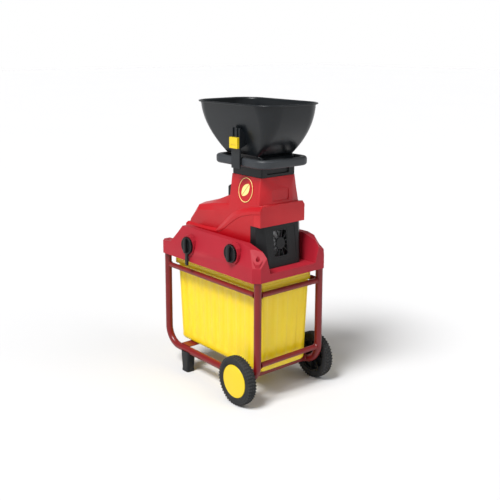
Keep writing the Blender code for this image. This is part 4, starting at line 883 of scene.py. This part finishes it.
def badge():
    """A plain oval badge on the tower: a red plate with a thin raised ring and a simple leaf."""
    foot_y, head_y = -0.0865, span("collar")[0].y
    foot_z, head_z = 0.655, span("main_housing")[1].z
    up = Vector((0.0, head_y - foot_y, head_z - foot_z)).normalized()
    out = Vector((0.0, -up.z, up.y))
    y = foot_y + (head_y - foot_y) * (BADGE_Z - foot_z) / (head_z - foot_z)
    middle = Vector((MID + BADGE_X, y, BADGE_Z))

    def spot(u, v, lift):
        return tuple(middle + Vector((1, 0, 0)) * u + up * v + out * lift)

    def oval(share, lift):
        steps = (TAU * i / 72 for i in range(72))
        wide, tall = BADGE_HALF_WIDTH * share, BADGE_HALF_HEIGHT * share
        return [spot(wide * math.cos(a), tall * math.sin(a), lift) for a in steps]

    plate = [oval(1.0, -0.0012), oval(1.0, 0.0010), oval(0.985, 0.0015)]
    solid("badge_plate", [loft(plate)], "frame", "shell_plastic", SHELL_RED)
    ring = [oval(0.985, 0.0012), oval(0.975, 0.0024), oval(0.935, 0.0024), oval(0.925, 0.0012)]
    shells = [loft(ring, closed=True)]
    c, s = math.cos(LEAF_TURN), math.sin(LEAF_TURN)
    for side in (-1, 1):
        rows = []
        for lift, share in ((0.0012, 1.0), (0.0024, 1.0), (0.0028, 0.90)):
            outline = half_leaf(side)
            rows.append([spot(share * (u * c - v * s), share * (u * s + v * c), lift) for u, v in outline])
        shells.append(loft(rows))
    solid("badge_ring_and_leaf", shells, "frame", "yellow_plastic", CREAM)


def half_leaf(side, steps=12):
    """One half of a leaf's outline: straight along the middle vein, and round on its outer edge."""
    outline = [(-LEAF_VEIN * side, LEAF_LENGTH * (i / steps) - LEAF_LENGTH / 2) for i in range(steps + 1)]
    for i in range(1, steps):
        t = 1 - i / steps
        across = -side * (LEAF_VEIN + LEAF_WIDTH * math.sin(math.pi * t) ** 0.75)
        outline.append((across, LEAF_LENGTH * t - LEAF_LENGTH / 2))
    return outline


# ---- Hopper, collar and handle -------------------------------------------------------------------


HOPPER_WALL = 0.0030
BOWL_ROWS = 32
BOWL_SWELL = 2.08  # how early the two ends of the bowl open out


def hopper_ring(z, x, half_x, half_y, corner, inset):
    """A rounded rectangle at one height of the hopper, moved in by an inset."""
    x0, x1, y1 = x - half_x + inset, x + half_x - inset, half_y - inset
    return level(rounded(x0, x1, -y1, y1, corner - inset * 0.5, 12), z)


def hopper():
    """The bowl: its two ends bulge out above the neck, and its long sides open evenly."""
    low, high, mid = span("hopper")
    collar_low, collar_high, collar_mid = span("collar")
    plug_x = (collar_high.x - collar_low.x) / 2 - 0.0135
    plug_y = (collar_high.y - collar_low.y) / 2 - 0.0135
    plug_low = collar_high.z - 0.030
    shoulder = collar_high.z + 0.0103
    neck_x, neck, bowl_low = collar_mid.x, 0.0735, 0.812
    foot_x, foot_half_x, foot_half_y, foot_corner = MID + 0.097, 0.083, 0.078, 0.012
    rim_x, rim_half_x, rim_half_y, rim_corner = mid.x, (high.x - low.x) / 2, 0.1333, 0.079
    lip_width = 0.008
    bowl = []
    for i in range(BOWL_ROWS + 1):
        t = i / BOWL_ROWS
        opened = 1 - (1 - t) ** BOWL_SWELL
        z = bowl_low + (high.z - 0.004 - bowl_low) * t
        x = foot_x + (rim_x - foot_x) * opened
        half_x = foot_half_x + (rim_half_x - lip_width - foot_half_x) * opened
        half_y = foot_half_y + (rim_half_y - lip_width - foot_half_y) * t
        bowl.append((z, x, half_x, half_y, foot_corner + (rim_corner - lip_width - foot_corner) * t))
    outer = [
        hopper_ring(plug_low, neck_x, plug_x, plug_y, 0.010, 0.0),
        hopper_ring(shoulder - 0.001, neck_x, plug_x, plug_y, 0.010, 0.0),
        hopper_ring(shoulder, neck_x, plug_x, plug_y, 0.010, -0.0008),
        hopper_ring(shoulder, neck_x, neck, neck, 0.012, 0.0012),
        hopper_ring(shoulder + 0.0012, neck_x, neck, neck, 0.012, 0.0),
        hopper_ring(bowl_low - 0.005, neck_x, neck, neck, 0.012, 0.0),
        *[hopper_ring(*row, 0.0) for row in bowl],
    ]
    inner = [
        hopper_ring(plug_low, neck_x, plug_x, plug_y, 0.010, HOPPER_WALL),
        hopper_ring(bowl_low - 0.002, neck_x, plug_x, plug_y, 0.010, HOPPER_WALL),
        *[hopper_ring(*row, HOPPER_WALL) for row in bowl],
    ]
    # height from the rim's top, inset from its outline
    lip_steps = (
        (-0.0052, 0.0030),
        (-0.0050, 0.0012),
        (-0.0040, 0.0003),
        (-0.0026, 0.0),
        (-0.0012, 0.0004),
        (-0.0003, 0.0016),
        (0.0, 0.0034),
        (-0.0004, 0.0060),
    )
    lip = []
    for h, inset in lip_steps:
        lip.append(hopper_ring(high.z + h, rim_x, rim_half_x, rim_half_y, rim_corner, inset))
    shells = [loft([*outer, *lip, *inner[::-1]], closed=True), *strap_shells()]
    stand_in("hopper", shells, look=HOPPER_BLACK, sharp=48)


STRAP_LOW, STRAP_TOP = 0.772, 0.9045
STRAP_THICK, STRAP_HALF = 0.0055, 0.021
RIB_OFFSET, RIB_HALF, RIB_LOW = 0.010, 0.0015, 0.876


def strap_shells():
    """The strap that comes down over the handle to the collar, and the latch's two guide ribs above it."""
    _, latch_high, latch_mid = span("hopper_latch")
    front = latch_high.y + GAP
    back = front + STRAP_THICK
    x = latch_mid.x
    side = [
        (front, STRAP_LOW),
        (front, STRAP_TOP),
        (back, STRAP_TOP),
        (-0.0975, 0.890),
        (-0.0870, 0.850),
        (back, 0.838),
        (back, STRAP_LOW),
    ]
    shells = [prism(side, "X", x - STRAP_HALF, x + STRAP_HALF)]
    for offset in (-RIB_OFFSET, RIB_OFFSET):
        low = (x + offset - RIB_HALF, front - 0.0043, RIB_LOW)
        high = (x + offset + RIB_HALF, front + 0.002, STRAP_TOP)
        shells.append(block(low, high))
    return shells


HANDLE_BAR, HANDLE_CORNER, HANDLE_EDGE = 0.020, 0.045, 0.0085
BRIDGE_INNER, BRIDGE_OUTER = 0.044, 0.062


def ring_handle():
    """A soft-edged ring round the neck, held to the collar by two short bridges at each end."""
    low, high, mid = span("ring_handle")
    bar, edge = HANDLE_BAR, HANDLE_EDGE
    half = (high.z - low.z) / 2
    outer = rounded(low.x, high.x, low.y, high.y, HANDLE_CORNER, 14)
    inner = rounded(low.x + bar, high.x - bar, low.y + bar, high.y - bar, HANDLE_CORNER - bar * 0.7, 14)
    rows = [(mid.z - half + edge - edge * math.cos(a), edge - edge * math.sin(a)) for a in quarter(6)]
    rows += [(mid.z + half - edge + edge * math.sin(a), edge - edge * math.cos(a)) for a in quarter(6)]
    rings = [level(shrunk(outer, -inset), z) for z, inset in rows]
    rings += [level(shrunk(inner, inset), z) for z, inset in rows[::-1]]
    shells = [loft(rings, closed=True)]
    collar_low, collar_high, _ = span("collar")
    top = collar_high.z + 0.010
    for x0, x1 in ((collar_high.x - 0.011, high.x - 0.010), (low.x + 0.010, collar_low.x + 0.011)):
        for y0, y1 in ((-BRIDGE_OUTER, -BRIDGE_INNER), (BRIDGE_INNER, BRIDGE_OUTER)):
            shells.append(block((x0, y0, collar_high.z + GAP), (x1, y1, top)))
    stand_in("ring_handle", shells, look=HANDLE_BLACK, sharp=50)


# ---- Build ---------------------------------------------------------------------------------------

tube_frame()
for side, sign in (("left", -1), ("right", 1)):
    wheel(side, sign)
    softened("foot_" + side, 0.0018, 3)
catching_bin()
softened("deck", 0.0016, 3)
knob("bin_latch", tail=True)
knob("anvil_knob", tail=False)
for node in sorted(frame["nodes"]):
    if node.startswith("deck_screw"):
        deck_screw(node)
softened("main_housing", 0.0014, 3)
softened("front_cover", 0.0010, 3)
side_band()
badge()
softened("vent_panel", 0.0014, 3)
softened("fan_grille", 0.0006)
softened("collar", 0.0016, 3)
ring_handle()
hopper()
softened("hopper_latch", 0.0015, 3)
softened("switch_box", 0.0016, 3)
for node in ("start_button", "stop_button", "reset_button", "direction_selector"):
    softened(node, 0.0009, 3)
softened("inlet_socket", 0.0008)

# ---- Stage, lights and camera --------------------------------------------------------------------

FLOOR_HALF = 30.0
CAMERA_AT = (2.0805, -1.735, 1.176)
CAMERA_AZIMUTH, CAMERA_ELEVATION, CAMERA_ROLL = 49.63, 10.21, 0.163
LENS, SENSOR, LENS_SHIFT = 57.12, 36.0, -0.1297


def toward(azimuth, elevation):
    """The direction at two angles in radians. Azimuth 0 is the knob side, and pi / 2 the wheel end."""
    flat = math.cos(elevation)
    return Vector((math.sin(azimuth) * flat, -math.cos(azimuth) * flat, math.sin(elevation)))


def stage():
    """A pale plain floor."""
    half = FLOOR_HALF
    mesh = bpy.data.meshes.new("floor")
    corners = level(block_outline(-half, half, -half, half), 0)
    mesh.from_pydata(corners, [], [(0, 1, 2, 3)])
    paper = finish(
        "studio_paper", (0.66, 0.66, 0.665), 0.9, blotch=0.004, blotch_scale=0.5, grain=60, bump=0.02,
        depth=0.0002,
    )
    mesh.materials.append(paper)
    floor = bpy.data.objects.new("floor", mesh)
    bpy.context.scene.collection.objects.link(floor)


def sun(name, azimuth, elevation, strength, spread):
    """A wide soft sun, with its angles in degrees."""
    data = bpy.data.lights.new(name, "SUN")
    data.energy = strength
    data.angle = math.radians(spread)
    made = bpy.data.objects.new(name, data)
    bpy.context.scene.collection.objects.link(made)
    shining = -toward(math.radians(azimuth), math.radians(elevation))
    made.rotation_euler = shining.to_track_quat("-Z", "Y").to_euler()


def studio():
    """White all round near the horizon, and dimmer overhead, so that the light has a shape."""
    world = bpy.data.worlds.new("studio")
    bpy.context.scene.world = world
    world.use_nodes = True
    tree = world.node_tree
    link = tree.links.new
    place = tree.nodes.new("ShaderNodeTexCoord")
    parts = tree.nodes.new("ShaderNodeSeparateXYZ")
    link(place.outputs["Generated"], parts.inputs["Vector"])
    fade = ranged(tree, parts.outputs["Z"], From_Min=0.10, From_Max=0.32, To_Min=1.0, To_Max=0.26)
    back = tree.nodes["Background"]
    back.inputs["Color"].default_value = (1.0, 1.0, 1.0, 1.0)
    link(fade, back.inputs["Strength"])


def camera():
    """A slightly raised view on the corner between the knob side and the wheel end."""
    roll = math.radians(CAMERA_ROLL)
    azimuth, elevation = math.radians(CAMERA_AZIMUTH), math.radians(CAMERA_ELEVATION)
    back = toward(azimuth, elevation)
    right = Vector((math.cos(azimuth), math.sin(azimuth), 0.0))
    up = back.cross(right)
    right, up = right * math.cos(roll) + up * math.sin(roll), up * math.cos(roll) - right * math.sin(roll)
    data = bpy.data.cameras.new("camera")
    data.sensor_width = SENSOR
    data.lens = LENS
    data.shift_y = LENS_SHIFT
    data.clip_end = 200.0
    made = bpy.data.objects.new("camera", data)
    bpy.context.scene.collection.objects.link(made)
    turn = Matrix((right, up, back)).transposed().to_4x4()
    made.matrix_world = Matrix.Translation(CAMERA_AT) @ turn
    bpy.context.scene.camera = made
    bpy.context.scene.view_settings.view_transform = "Standard"


stage()
studio()
sun("key", azimuth=8, elevation=56, strength=4.2, spread=22)
sun("side", azimuth=112, elevation=46, strength=0.6, spread=30)
camera()
